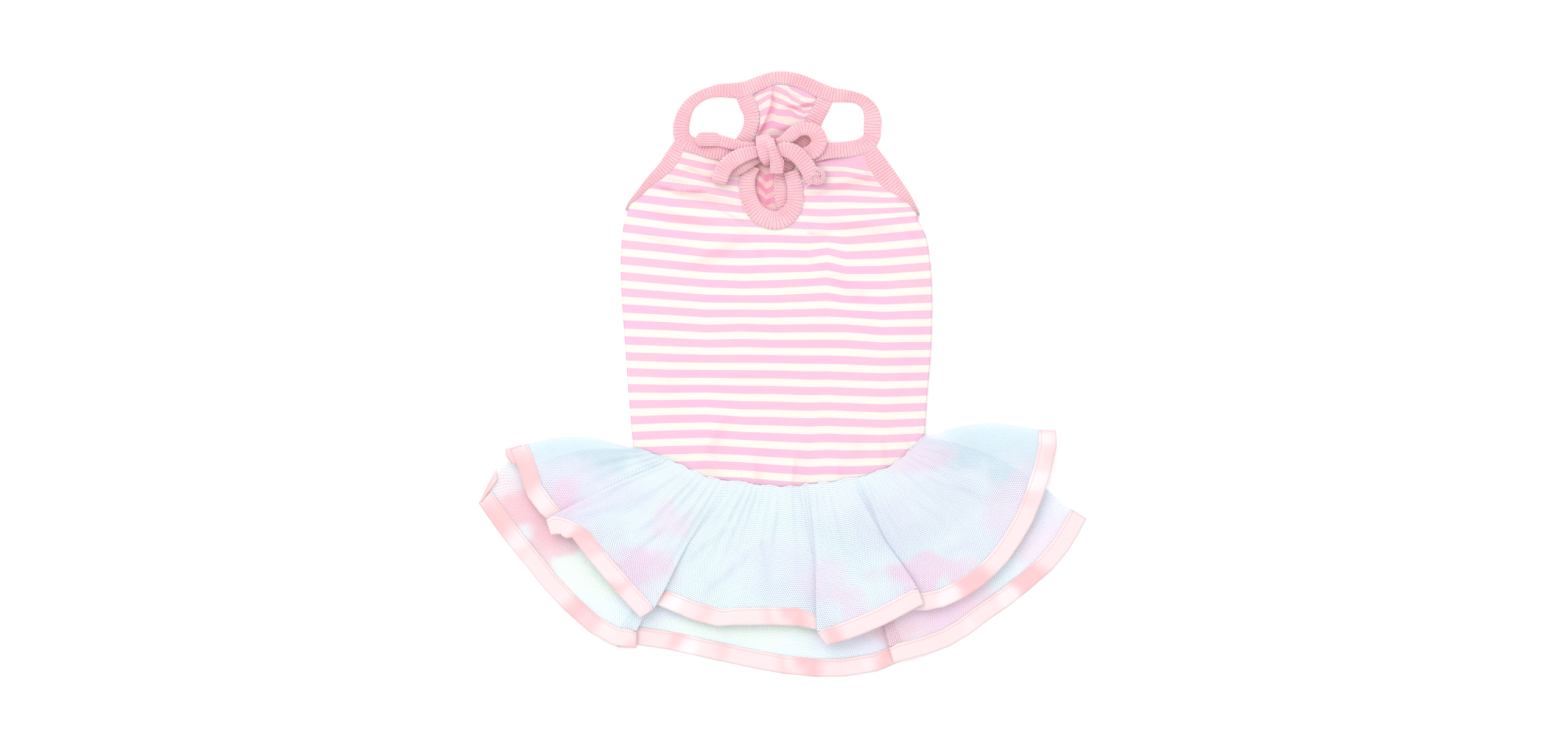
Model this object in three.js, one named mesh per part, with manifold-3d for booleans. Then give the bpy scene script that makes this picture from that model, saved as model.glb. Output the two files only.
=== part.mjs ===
// Pet ballerina dress, laid flat on its front and seen from its back.
// Millimetres: x to the right, y from the hem to the neck, z up from the surface it lies on.
import * as THREE from "three";
import { mergeVertices } from "three/addons/utils/BufferGeometryUtils.js";
import Module from "manifold-3d";

const wasm = await Module();
wasm.setup();

// Driving dimensions
const GAP = 0.3; // between pieces at a seam
const CLOTH = 1.0; // wall of the jersey
const NET = 1.0; // wall of a tulle tier
const RIBBON = { width: 10.2, wall: 1.0 };
const STRIP = { width: 9, wall: 1.7, rib: 1.8, rise: 0.45 }; // rib-knit binding, ties and straps
const HIDDEN_STRIP = 1.3; // a binding pressed flat between the two panels
const BACK_OVER_CHEST = 2.3; // middle of the back panel's wall where the chest panel lies under it
const KNOT = { x: -10.3, y: 133.8, z: 8.6, width: 11, tall: 15, high: 7.4, turn: 0.3 };
const CENTRE = { x: -0.75, y: 0 };

const COLOURS = { jersey: 0xfde0ec, rib: 0xfac9d3, net: 0xe9f7fb, ribbon: 0xfdd9dd };
const material = (colour, roughness) => new THREE.MeshStandardMaterial({ color: colour, roughness, metalness: 0 });
const dress = new THREE.Group();

function addMesh(name, geometry, colour, roughness = 0.85) {
  const mesh = new THREE.Mesh(geometry, material(colour, roughness));
  mesh.name = name;
  dress.add(mesh);
  return mesh;
}

const vector = (row) => new THREE.Vector3(row.x, row.y, row.z ?? 0);
const smooth = (t) => THREE.MathUtils.smoothstep(t, 0, 1);
const mix = THREE.MathUtils.lerp;

// A smooth line through a table's rows, read by the share of its length
function lineThrough(rows) {
  const line = new THREE.CatmullRomCurve3(rows.map(vector), false, "centripetal");
  line.arcLengthDivisions = 400;
  return line;
}

// Height of a soft crease at a place: each row is one crease from (x, y) to (x2, y2)
function creaseHeight(rows, x, y) {
  let height = 0;
  for (const row of rows) {
    const dx = row.x2 - row.x;
    const dy = row.y2 - row.y;
    const along = ((x - row.x) * dx + (y - row.y) * dy) / (dx * dx + dy * dy);
    const t = THREE.MathUtils.clamp(along, 0, 1);
    const away = Math.hypot(x - row.x - t * dx, y - row.y - t * dy) / row.wide;
    height += row.rise * Math.exp(-away * away) * Math.sin(Math.PI * mix(0.12, 0.88, t));
  }
  return height;
}

// A closed body between two grids of points with the same rows and columns
function slab(top, bottom) {
  const rows = top.length;
  const columns = top[0].length;
  const points = [...top.flat(), ...bottom.flat()];
  const upper = (i, j) => i * columns + j;
  const lower = (i, j) => rows * columns + upper(i, j);
  const faces = [];
  const quad = (a, b, c, d) => faces.push(a, b, c, a, c, d);
  for (let i = 0; i < rows - 1; i++) {
    for (let j = 0; j < columns - 1; j++) {
      quad(upper(i, j), upper(i + 1, j), upper(i + 1, j + 1), upper(i, j + 1));
      quad(lower(i, j), lower(i, j + 1), lower(i + 1, j + 1), lower(i + 1, j));
    }
    quad(upper(i, 0), lower(i, 0), lower(i + 1, 0), upper(i + 1, 0));
    const last = columns - 1;
    quad(upper(i + 1, last), lower(i + 1, last), lower(i, last), upper(i, last));
  }
  for (let j = 0; j < columns - 1; j++) {
    quad(upper(0, j + 1), lower(0, j + 1), lower(0, j), upper(0, j));
    const last = rows - 1;
    quad(upper(last, j), lower(last, j), lower(last, j + 1), upper(last, j + 1));
  }
  return closed(points, faces);
}

function closed(points, faces) {
  const geometry = new THREE.BufferGeometry().setFromPoints(points);
  geometry.setIndex(faces);
  geometry.computeVertexNormals();
  return geometry;
}

// Cloth of one wall thickness on a middle surface: rows run away from the neck, columns to the right
function cloth(middle, wall) {
  const last = middle.length - 1;
  const normals = middle.map((row, i) =>
    row.map((point, j) => {
      const down = middle[Math.min(i + 1, last)][j].clone().sub(middle[Math.max(i - 1, 0)][j]);
      const right = row[Math.min(j + 1, row.length - 1)].clone().sub(row[Math.max(j - 1, 0)]);
      return down.cross(right).normalize();
    }),
  );
  const moved = (by) =>
    middle.map((row, i) => row.map((point, j) => point.clone().addScaledVector(normals[i][j], by)));
  return slab(moved(wall / 2), moved(-wall / 2));
}

// The surface spanned by four lines that meet at its corners
function spanned(top, bottom, left, right, across, down) {
  const grid = [];
  for (let i = 0; i <= down; i++) {
    const v = i / down;
    const row = [];
    const l = left.getPointAt(v);
    const r = right.getPointAt(v);
    for (let j = 0; j <= across; j++) {
      const u = j / across;
      const point = l.clone().lerp(r, u);
      const ends = top.getPointAt(u).lerp(bottom.getPointAt(u), v);
      const corners = top.getPointAt(0).lerp(bottom.getPointAt(0), v);
      corners.lerp(top.getPointAt(1).lerp(bottom.getPointAt(1), v), u);
      row.push(point.add(ends).sub(corners));
    }
    grid.push(row);
  }
  return grid;
}

function solidOf(geometry) {
  const bare = geometry.clone();
  bare.deleteAttribute("normal");
  bare.deleteAttribute("uv");
  const merged = mergeVertices(bare, 1e-4);
  return new wasm.Manifold(
    new wasm.Mesh({
      numProp: 3,
      vertProperties: new Float32Array(merged.attributes.position.array),
      triVerts: new Uint32Array(merged.index.array),
    }),
  );
}

function geometryOf(solid) {
  const mesh = solid.getMesh();
  const geometry = new THREE.BufferGeometry();
  geometry.setAttribute("position", new THREE.BufferAttribute(mesh.vertProperties, 3));
  geometry.setIndex(new THREE.BufferAttribute(mesh.triVerts, 1));
  geometry.computeVertexNormals();
  return geometry;
}

function plate(rows, low, high) {
  const outline = new THREE.Shape(rows.map((row) => new THREE.Vector2(row.x, row.y)));
  const geometry = new THREE.ExtrudeGeometry(outline, { depth: high - low, bevelEnabled: false });
  return geometry.translate(0, 0, low);
}

// Rib-knit strip along a line that gives the middle of its under face. Ribs run across its outer face,
// one every STRIP.rib, and its under face is plain. Rows may narrow the strip with their own width.
const FAN = 4; // half ribs for each span of the plain under face

function ribStrip(rows, { ribbed = true, wall = STRIP.wall, width = STRIP.width } = {}) {
  const line = lineThrough(rows);
  const spans = Math.max(2, Math.round(line.getLength() / (ribbed ? STRIP.rib * 2 : 6)));
  const each = ribbed ? FAN : 1;
  const last = spans * each;
  const sections = [];
  let across = null;
  for (let k = 0; k <= last; k++) {
    const u = k / last;
    const centre = line.getPointAt(u);
    const ahead = line.getTangentAt(u);
    const level = new THREE.Vector3(-ahead.y, ahead.x, 0);
    const turning = across && level.length() < 0.5;
    const next = turning ? across.clone().addScaledVector(ahead, -across.dot(ahead)) : level;
    next.normalize();
    if (across && !turning && next.dot(across) < 0) next.negate();
    across = next;
    const out = ahead.clone().cross(across).normalize();
    const t = line.getUtoTmapping(u, 0) * (rows.length - 1);
    const row = Math.min(Math.floor(t), rows.length - 2);
    const wide = mix(rows[row].width ?? width, rows[row + 1].width ?? width, t - row) / 2;
    const rise = ribbed && k % 2 ? STRIP.rise : 0;
    const at = (side, up) => centre.clone().addScaledVector(across, side).addScaledVector(out, up);
    sections.push({
      lowLeft: at(wide, 0),
      lowRight: at(-wide, 0),
      left: at(wide + rise / 3, wall * 0.62 + rise / 2),
      middle: at(0, wall + rise),
      right: at(-wide - rise / 3, wall * 0.62 + rise / 2),
    });
  }
  return stripBody(sections, each);
}

function stripBody(sections, each) {
  const points = [];
  const put = (point) => points.push(point) - 1;
  const upper = sections.map((s) => [put(s.left), put(s.middle), put(s.right)]);
  const under = sections.filter((s, k) => k % each === 0).map((s) => [put(s.lowLeft), put(s.lowRight)]);
  const faces = [];
  const fan = (low, side, turned) => {
    for (let s = 0; s < low.length - 1; s++) {
      const half = Math.floor(each / 2);
      for (let k = 0; k < each; k++) {
        const a = side[s * each + k];
        const b = side[s * each + k + 1];
        const root = k < half ? low[s] : low[s + 1];
        faces.push(...(turned ? [root, b, a] : [root, a, b]));
      }
      const top = side[s * each + half];
      faces.push(...(turned ? [low[s], low[s + 1], top] : [low[s + 1], low[s], top]));
    }
  };
  for (let k = 0; k < upper.length - 1; k++) {
    for (const c of [0, 1]) {
      const [a, b, c2, d] = [upper[k][c], upper[k][c + 1], upper[k + 1][c + 1], upper[k + 1][c]];
      faces.push(a, b, c2, a, c2, d);
    }
  }
  fan(under.map((u) => u[0]), upper.map((u) => u[0]), false);
  fan(under.map((u) => u[1]), upper.map((u) => u[2]), true);
  for (let s = 0; s < under.length - 1; s++) {
    faces.push(under[s][0], under[s + 1][0], under[s + 1][1], under[s][0], under[s + 1][1], under[s][1]);
  }
  const cap = (u, l, turned) => {
    const ring = [l[0], l[1], u[2], u[1], u[0]];
    for (let k = 1; k < 4; k++) {
      const [a, b] = turned ? [ring[k + 1], ring[k]] : [ring[k], ring[k + 1]];
      faces.push(ring[0], a, b);
    }
  };
  cap(upper[0], under[0], false);
  cap(upper[upper.length - 1], under[under.length - 1], true);
  return closed(points, faces);
}

// Rib strip on the neck: one length runs from the chest panel's neck edge through both straps to the back
const neckEdge = [
  { x: -30, y: 169.2, width: 8.6 },
  { x: -24, y: 169.9, width: 9 },
  { x: -18, y: 172.2, width: 8.4 },
  { x: -12, y: 174.7, width: 7.8 },
  { x: -6, y: 176.7, width: 7.2 },
  { x: 1, y: 176.8, width: 7.4 },
  { x: 8, y: 175.4, width: 7.8 },
  { x: 15, y: 172.7, width: 8 },
  { x: 22, y: 169.3, width: 8.6 },
];
const strapLeft = [
  { x: -30.8, y: 169.4, width: 8.4 },
  { x: -38, y: 169.3, width: 7.4 },
  { x: -45, y: 167.9, width: 6 },
  { x: -51.5, y: 164.9, width: 6.2 },
  { x: -57, y: 159.9, width: 7 },
  { x: -60, y: 153.5, width: 8.4 },
  { x: -61.2, y: 148.6, width: 9 },
  { x: -61.3, y: 145.6, width: 9 },
];
const strapRight = [
  { x: 23, y: 168.8, width: 8.6 },
  { x: 29.5, y: 166.8, width: 8 },
  { x: 36, y: 166.2, width: 7.2 },
  { x: 43.5, y: 164.9, width: 6.2 },
  { x: 49, y: 161.6, width: 7 },
  { x: 52, y: 157, width: 8.8 },
  { x: 53.2, y: 151, width: 10 },
  { x: 52.9, y: 147.2, width: 9.8 },
  { x: 52.9, y: 144.6, width: 9.8 },
];
const backNeckLeft = [
  { x: -61.3, y: 145.1, z: 0 },
  { x: -61.2, y: 143.4, z: 0 },
  { x: -60.3, y: 140.9, z: 0 },
  { x: -58.3, y: 138.7, z: 0.1 },
  { x: -54.5, y: 136.7, z: 0.3 },
  { x: -49, y: 135, z: 0.6 },
  { x: -43, y: 133.2, z: 1.2 },
  { x: -36, y: 131.8, z: 2 },
  { x: -24, y: 130.4, z: 2.2 },
];
const backNeckRight = [
  { x: 52.9, y: 144.1, z: 0, width: 9.8 },
  { x: 52.8, y: 142.6, z: 0, width: 9.6 },
  { x: 51.9, y: 140.4, z: 0, width: 9.4 },
  { x: 50, y: 138.2, z: 0.1 },
  { x: 46.5, y: 136, z: 0.3 },
  { x: 41.5, y: 134.7, z: 0.6 },
  { x: 35, y: 133.8, z: 1.2 },
  { x: 27, y: 133.2, z: 1.9 },
  { x: 19, y: 131.4, z: 2.2 },
  { x: 11, y: 129.4, z: 2.2 },
];

const lowStrip = { wall: HIDDEN_STRIP };
addMesh("chest_neck_binding", ribStrip(neckEdge), COLOURS.rib);
addMesh("strap_left", ribStrip(strapLeft), COLOURS.rib);
addMesh("strap_right", ribStrip(strapRight), COLOURS.rib);
addMesh("back_neck_binding_left", ribStrip(backNeckLeft), COLOURS.rib);
addMesh("back_neck_binding_right", ribStrip(backNeckRight), COLOURS.rib);

// Bindings on the chest panel's leg edges: ribbed where they show, plain where the back hides them
const chestLegLeft = [
  { x: -22.9, y: 164.6, width: 9.6 },
  { x: -21.1, y: 160.6, width: 10 },
  { x: -19.4, y: 155.6 },
  { x: -18.9, y: 150.5 },
  { x: -20.6, y: 144.5 },
  { x: -24, y: 138.8 },
  { x: -28.5, y: 133 },
];
const chestLegLeftHidden = [
  { x: -27.8, y: 133.9 },
  { x: -33, y: 126.6 },
  { x: -40.5, y: 117.8 },
  { x: -50.5, y: 109.8 },
  { x: -62, y: 103.4 },
  { x: -76, y: 98.4 },
  { x: -88.5, y: 95.2 },
];
const chestLegRight = [
  { x: 23.9, y: 162.6 },
  { x: 22.6, y: 159.6 },
  { x: 20.1, y: 155 },
  { x: 17.3, y: 149.4 },
  { x: 12.4, y: 141 },
  { x: 5.2, y: 130.6 },
  { x: 0.2, y: 121.8 },
  { x: -1.4, y: 115.5 },
  { x: -1.5, y: 108.5 },
  { x: 0.6, y: 98.5 },
];
const chestLegRightHidden = [
  { x: 0.3, y: 99.6 },
  { x: 4, y: 91 },
  { x: 12.5, y: 84.4 },
  { x: 26, y: 81.6 },
  { x: 44, y: 84 },
  { x: 61, y: 88.8 },
  { x: 76, y: 93 },
];
function joined(first, second) {
  return geometryOf(solidOf(first).add(solidOf(second)));
}
const plainStrip = { ribbed: false, ...lowStrip };
const chestLegs = [
  { name: "leg_binding_chest_left", shown: chestLegLeft, hidden: chestLegLeftHidden },
  { name: "leg_binding_chest_right", shown: chestLegRight, hidden: chestLegRightHidden },
];
for (const leg of chestLegs) {
  const geometry = joined(ribStrip(leg.shown, lowStrip), ribStrip(leg.hidden, plainStrip));
  addMesh(leg.name, geometry, COLOURS.rib);
}

// Bindings on the back's leg edges, narrowing where they turn under at the side seams
const backLegLeft = [
  { x: -63, y: 135.5, z: 0.2, width: 7.6 },
  { x: -65.8, y: 130.4, z: 0.4, width: 8.8 },
  { x: -70, y: 124.4, z: 0.5, width: 8.4 },
  { x: -75.4, y: 118.9, z: 0.5, width: 7 },
  { x: -79.9, y: 115.1, z: 0.5, width: 5.2 },
  { x: -84.2, y: 110.4, z: 0.7, width: 4 },
  { x: -88.2, y: 106.1, z: 0.9, width: 3 },
  { x: -92, y: 102, z: 1.1, width: 2.2 },
  { x: -94.6, y: 96.6, z: 1.3, width: 1.8 },
];
const backLegRight = [
  { x: 51.2, y: 133, z: 0.2, width: 9.4 },
  { x: 55.6, y: 126, z: 0.4, width: 11 },
  { x: 61, y: 118, z: 0.5, width: 11.6 },
  { x: 66.8, y: 111, z: 0.5, width: 10 },
  { x: 72.6, y: 105.2, z: 0.7, width: 7 },
  { x: 77.6, y: 99.8, z: 0.9, width: 3.8 },
  { x: 81.2, y: 94.2, z: 1.3, width: 1.8 },
];
addMesh("leg_binding_back_left", ribStrip(backLegLeft), COLOURS.rib);
addMesh("leg_binding_back_right", ribStrip(backLegRight), COLOURS.rib);

const keyhole = [
  { x: -18.6, y: 124.4, z: 2.2 },
  { x: -21.2, y: 118.5, z: 2.2 },
  { x: -21.8, y: 112.5, z: 2.2, width: 9.2 },
  { x: -21, y: 106.3, z: 2.2, width: 9.5 },
  { x: -18.4, y: 99.6, z: 2.2, width: 10 },
  { x: -13.8, y: 94.6, z: 2.2, width: 10.4 },
  { x: -7.6, y: 92, z: 2.2, width: 10.8 },
  { x: -2, y: 92.3, z: 2.2, width: 10.8 },
  { x: 3.2, y: 95.7, z: 2.2, width: 10.4 },
  { x: 6.5, y: 101.5, z: 2.2, width: 9.6 },
  { x: 7, y: 108, z: 2.2, width: 9.2 },
  { x: 6.4, y: 114, z: 2.2 },
  { x: 4.4, y: 121.2, z: 2.2 },
];
addMesh("keyhole_binding", ribStrip(keyhole), COLOURS.rib);

// Chest panel: the narrow neck keeps its creases, the rest is one flat plate under the back
const chestNeck = {
  top: [
    { x: -17.2, y: 164.6 },
    { x: -14.8, y: 168 },
    { x: -11.4, y: 170 },
    { x: -6, y: 172 },
    { x: 0.9, y: 172.4 },
    { x: 9.4, y: 170.4 },
    { x: 14.2, y: 168.2 },
    { x: 19, y: 164.6 },
  ],
  left: [
    { x: -17.2, y: 164.6 },
    { x: -15.1, y: 160.5 },
    { x: -13.9, y: 155.6 },
    { x: -13.7, y: 150.8 },
    { x: -15.1, y: 145 },
    { x: -18.4, y: 138.2 },
    { x: -23.4, y: 131.6 },
    { x: -29, y: 123.8 },
    { x: -36, y: 115.4 },
  ],
  right: [
    { x: 19, y: 164.6 },
    { x: 17.3, y: 160.4 },
    { x: 15.1, y: 156.4 },
    { x: 12.2, y: 150.8 },
    { x: 7.3, y: 142.6 },
    { x: 0.1, y: 132.4 },
    { x: -5, y: 122.9 },
    { x: -6.6, y: 115.6 },
    { x: -6.4, y: 109.4 },
  ],
};
const chestCreases = [
  { x: -7.5, y: 170, x2: -8.5, y2: 157, rise: 0.9, wide: 2.2 },
  { x: -8.5, y: 158, x2: -19, y2: 138.5, rise: 1.1, wide: 2.6 },
  { x: 18, y: 163, x2: 2, y2: 160.5, rise: 0.8, wide: 2 },
  { x: 12, y: 150, x2: -6, y2: 146, rise: 0.6, wide: 2.4 },
  { x: -16, y: 112, x2: -9, y2: 122, rise: 0.6, wide: 2.2 },
];
const chestBody = [
  { x: -34.6, y: 116.6 },
  { x: -37.2, y: 113.8 },
  { x: -48.2, y: 105.4 },
  { x: -60.3, y: 98.6 },
  { x: -75, y: 93.4 },
  { x: -93.4, y: 89.4 },
  { x: -96, y: 69.6 },
  { x: -96, y: 56.5 },
  { x: -93.4, y: 17.6 },
  { x: -89.6, y: -31 },
  { x: -88.4, y: -43 },
  { x: -60, y: -45.5 },
  { x: 0, y: -47 },
  { x: 50, y: -44 },
  { x: 82.3, y: -36 },
  { x: 84.8, y: -8.2 },
  { x: 87.2, y: 30.7 },
  { x: 87.2, y: 50.3 },
  { x: 85.8, y: 69.6 },
  { x: 81.5, y: 88 },
  { x: 76, y: 88.1 },
  { x: 62, y: 83.9 },
  { x: 44.7, y: 79.1 },
  { x: 26, y: 76.2 },
  { x: 8.8, y: 79.4 },
  { x: -0.8, y: 87 },
  { x: -4.4, y: 97.8 },
  { x: -6.4, y: 108 },
  { x: -6.4, y: 111.2 },
];
function chestPanel() {
  const last = (rows) => rows[rows.length - 1];
  const lines = {
    top: lineThrough(chestNeck.top),
    bottom: lineThrough([last(chestNeck.left), last(chestNeck.right)]),
    left: lineThrough(chestNeck.left),
    right: lineThrough(chestNeck.right),
  };
  const plan = spanned(lines.top, lines.bottom, lines.left, lines.right, 12, 16);
  const lifted = (high, creased) =>
    plan.map((row) =>
      row.map((p) => {
        const rise = creased ? creaseHeight(chestCreases, p.x, p.y) : 0;
        return new THREE.Vector3(p.x, p.y, high + rise);
      }),
    );
  return joined(slab(lifted(CLOTH, true), lifted(0, false)), plate(chestBody, 0, CLOTH));
}
addMesh("chest_panel", chestPanel(), COLOURS.jersey);

// Back panel, draped over what lies under it
const waist = [
  { x: -89.6, y: -44.6 },
  { x: -71.5, y: -50 },
  { x: -59.1, y: -55.9 },
  { x: -45.3, y: -62 },
  { x: -28.9, y: -64.6 },
  { x: -10.4, y: -67.1 },
  { x: 4.5, y: -67.6 },
  { x: 18.4, y: -66 },
  { x: 37.3, y: -63.5 },
  { x: 54, y: -59.5 },
  { x: 68, y: -52.5 },
  { x: 83.7, y: -37.3 },
];
const back = {
  top: [
    { x: -57.6, y: 131.6 },
    { x: -52.5, y: 130.2 },
    { x: -45, y: 128.2 },
    { x: -37, y: 126.8 },
    { x: -20, y: 125.4 },
    { x: 0, y: 123.4 },
    { x: 18.4, y: 125.4 },
    { x: 28.5, y: 128.2 },
    { x: 36.5, y: 128.8 },
    { x: 45.4, y: 129.6 },
  ],
  left: [
    { x: -57.6, y: 131.6 },
    { x: -60.4, y: 128 },
    { x: -66.3, y: 120.6 },
    { x: -73, y: 115.2 },
    { x: -78.3, y: 111.6 },
    { x: -85.6, y: 105.6 },
    { x: -91.6, y: 99 },
    { x: -95.5, y: 89.2 },
    { x: -97.3, y: 69.6 },
    { x: -97.3, y: 56.5 },
    { x: -96.2, y: 37.2 },
    { x: -94.7, y: 17.6 },
    { x: -92.9, y: -8.2 },
    { x: -90.9, y: -31.5 },
    { x: -89.6, y: -44.6 },
  ],
  right: [
    { x: 45.4, y: 129.6 },
    { x: 50, y: 122.6 },
    { x: 55.4, y: 114.4 },
    { x: 61.6, y: 107.4 },
    { x: 69.6, y: 101.4 },
    { x: 76, y: 97 },
    { x: 80, y: 91.6 },
    { x: 84.6, y: 82.7 },
    { x: 87.1, y: 69.6 },
    { x: 88.5, y: 50.3 },
    { x: 88.5, y: 30.7 },
    { x: 87.7, y: 11.1 },
    { x: 86, y: -8.2 },
    { x: 84.6, y: -27.9 },
    { x: 83.7, y: -37.3 },
  ],
};
const backCreases = [
  { x: 8, y: 83, x2: 43, y2: 50, rise: 1.5, wide: 4.5 },
  { x: -62, y: 112, x2: -28, y2: 104, rise: 1, wide: 4 },
  { x: -80, y: 101, x2: -44, y2: 92, rise: 0.8, wide: 4.5 },
  { x: 14, y: 112, x2: 46, y2: 117, rise: 1, wide: 4 },
  { x: 14, y: 97, x2: 62, y2: 88, rise: 0.9, wide: 4.5 },
  { x: -26, y: 84, x2: -60, y2: 66, rise: 0.7, wide: 5.5 },
  { x: 30, y: -20, x2: 46, y2: -52, rise: 0.6, wide: 5 },
  { x: -38, y: -24, x2: -50, y2: -52, rise: 0.6, wide: 5 },
];
const NECK_AXIS = -10; // middle of the chest panel's neck under the back
const SHOULDER = { left: -95, rise: 24, over: 55, low: 100, right: 104 }; // the chest panel's leg edges
function backHeight(x, y) {
  const overNeck = 1 - smooth((Math.abs(x - NECK_AXIS) - 24) / 14);
  const risen = SHOULDER.low + SHOULDER.rise * ((x - SHOULDER.left) / SHOULDER.over) ** 2;
  const edge = x < NECK_AXIS ? risen : SHOULDER.right;
  const cover = Math.max(smooth((edge + 6 - y) / 9), overNeck);
  const side = smooth((Math.abs(x + 4.4) - 82) / 9);
  const seam = smooth((-38 - y) / 14);
  return mix(1.3, BACK_OVER_CHEST, cover) - 0.5 * Math.max(side * cover, seam);
}
const keyholeCut = [
  { x: -23.6, y: 140 },
  { x: -23.6, y: 125 },
  { x: -26.5, y: 117.5 },
  { x: -27.3, y: 111 },
  { x: -26.4, y: 104.4 },
  { x: -23.5, y: 97 },
  { x: -18.2, y: 90.6 },
  { x: -12, y: 87.2 },
  { x: -5.4, y: 85.9 },
  { x: 1.3, y: 87 },
  { x: 7.2, y: 91.4 },
  { x: 10.9, y: 97.4 },
  { x: 12.2, y: 104.5 },
  { x: 12.1, y: 110.6 },
  { x: 10.6, y: 117.5 },
  { x: 9.2, y: 124 },
  { x: 9.2, y: 140 },
];
function backPanel() {
  const inset = waist.map((row) => ({ x: row.x, y: row.y + GAP }));
  const lines = [back.top, inset, back.left, back.right].map(lineThrough);
  const plan = spanned(...lines, 24, 24);
  for (const row of plan) {
    for (const p of row) p.z = backHeight(p.x, p.y) + creaseHeight(backCreases, p.x, p.y);
  }
  return geometryOf(solidOf(cloth(plan, CLOTH)).subtract(solidOf(plate(keyholeCut, -5, 15))));
}
addMesh("back_panel", backPanel(), COLOURS.jersey);

// Skirt tiers. Each row is one place on a hem: where the net ends, the way the ribbon lies out from
// there (turn, in degrees), its level, and the share of the waist it is gathered to. A row with back is
// an S-fold seen from above: its upper leaf ends at (x, y), and the leaves under it run back that far.
const LEAF = 1.7; // from one leaf of a fold to the next
const BEND = 1.3; // how far a fold's edge stands out past its leaves
const FOLD_WAIST = 0.032; // share of the waist that one fold takes up
const upperHem = [
  { x: -153.3, y: -41.7, turn: 199, waist: 0 },
  { x: -149.6, y: -50, turn: 208, waist: 0.02 },
  { x: -144.5, y: -67, turn: 214, waist: 0.055 },
  { x: -138.4, y: -75.4, turn: 228, waist: 0.08 },
  { x: -140.4, y: -85.8, turn: 288, waist: 0.1, level: 0, back: 9, to: 2 },
  { x: -134.6, y: -85.2, turn: 280, waist: 0.142, level: 2 },
  { x: -127.6, y: -87.4, turn: 250, waist: 0.158, level: 2 },
  { x: -116.5, y: -93.8, turn: 200, waist: 0.18, level: 2 },
  { x: -108.6, y: -104, turn: 206, waist: 0.2, level: 2 },
  { x: -98.6, y: -115.4, turn: 218, waist: 0.235, level: 2 },
  { x: -87.8, y: -127.9, turn: 222, waist: 0.275, level: 2 },
  { x: -77.8, y: -138.6, turn: 214, waist: 0.312, level: 2, back: 9, to: 0 },
  { x: -68.9, y: -129.6, turn: 234, waist: 0.362 },
  { x: -50.4, y: -137.3, turn: 243, waist: 0.4 },
  { x: -36, y: -141, turn: 250, waist: 0.43 },
  { x: -29, y: -139.8, turn: 258, waist: 0.445, level: 0.3 },
  { x: -10, y: -139.5, turn: 270, waist: 0.485 },
  { x: 8, y: -140, turn: 273, waist: 0.528 },
  { x: 21, y: -153, turn: 307, waist: 0.552, level: 0, back: 10, to: 2 },
  { x: 29.6, y: -150.6, turn: 302, waist: 0.606, level: 2 },
  { x: 42.7, y: -145.7, turn: 297, waist: 0.634, level: 2 },
  { x: 55, y: -140.5, turn: 297, waist: 0.662, level: 2 },
  { x: 68.5, y: -133.4, turn: 296, waist: 0.695, level: 2 },
  { x: 78.6, y: -128, turn: 290, waist: 0.72, level: 2, back: 9, to: 0 },
  { x: 84, y: -131, turn: 276, waist: 0.774 },
  { x: 93.5, y: -128.8, turn: 283, waist: 0.794 },
  { x: 103.5, y: -124, turn: 296, waist: 0.816 },
  { x: 112, y: -118.4, turn: 304, waist: 0.838 },
  { x: 119, y: -112.4, turn: 312, waist: 0.858 },
  { x: 126.2, y: -104.6, turn: 320, waist: 0.88 },
  { x: 132.6, y: -95.2, turn: 327, waist: 0.904 },
  { x: 139.2, y: -84, turn: 332, waist: 0.93 },
  { x: 144.6, y: -70.6, turn: 340, waist: 0.955 },
  { x: 149.2, y: -57, turn: 345, waist: 0.975 },
  { x: 152.6, y: -42.5, turn: 352, waist: 0.99 },
  { x: 152.4, y: -33.2, turn: 359, waist: 1 },
];
const lowerHem = [
  { x: -175.2, y: -69.8, turn: 225, waist: 0 },
  { x: -166.4, y: -82.4, turn: 222, waist: 0.03 },
  { x: -158.6, y: -92.8, turn: 219, waist: 0.055 },
  { x: -144.2, y: -110.4, turn: 218, waist: 0.09 },
  { x: -136.2, y: -120.6, turn: 220, waist: 0.12 },
  { x: -124.2, y: -133.4, turn: 226, waist: 0.16 },
  { x: -110.2, y: -145.6, turn: 236, waist: 0.21, level: 1 },
  { x: -98.4, y: -152, turn: 250, waist: 0.25, level: 2 },
  { x: -89, y: -153.3, turn: 268, waist: 0.28, level: 2, back: 9, to: 0 },
  { x: -86, y: -151.6, turn: 264, waist: 0.333 },
  { x: -67.5, y: -154.4, turn: 258, waist: 0.37 },
  { x: -40.9, y: -160.3, turn: 259, waist: 0.425 },
  { x: -17.6, y: -165.3, turn: 258, waist: 0.475 },
  { x: 1, y: -168.8, turn: 262, waist: 0.52 },
  { x: 19.5, y: -170.6, turn: 267, waist: 0.56 },
  { x: 36, y: -170.4, turn: 273, waist: 0.6 },
  { x: 54.4, y: -167.4, turn: 280, waist: 0.645 },
  { x: 64, y: -162.4, turn: 288, waist: 0.68, level: 0, back: 6, to: 2 },
  { x: 71, y: -160.6, turn: 286, waist: 0.724, level: 2 },
  { x: 82, y: -157.8, turn: 286, waist: 0.745, level: 1 },
  { x: 94.7, y: -153.3, turn: 293, waist: 0.772 },
  { x: 105, y: -147.2, turn: 302, waist: 0.797 },
  { x: 116, y: -138.8, turn: 308, waist: 0.824 },
  { x: 129.3, y: -129.6, turn: 309, waist: 0.86 },
  { x: 141, y: -120.2, turn: 311, waist: 0.89 },
  { x: 153, y: -109.8, turn: 317, waist: 0.925 },
  { x: 161.6, y: -99.4, turn: 323, waist: 0.955 },
  { x: 167, y: -90.6, turn: 326, waist: 0.98 },
  { x: 172.2, y: -80.9, turn: 328, waist: 1 },
];
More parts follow.
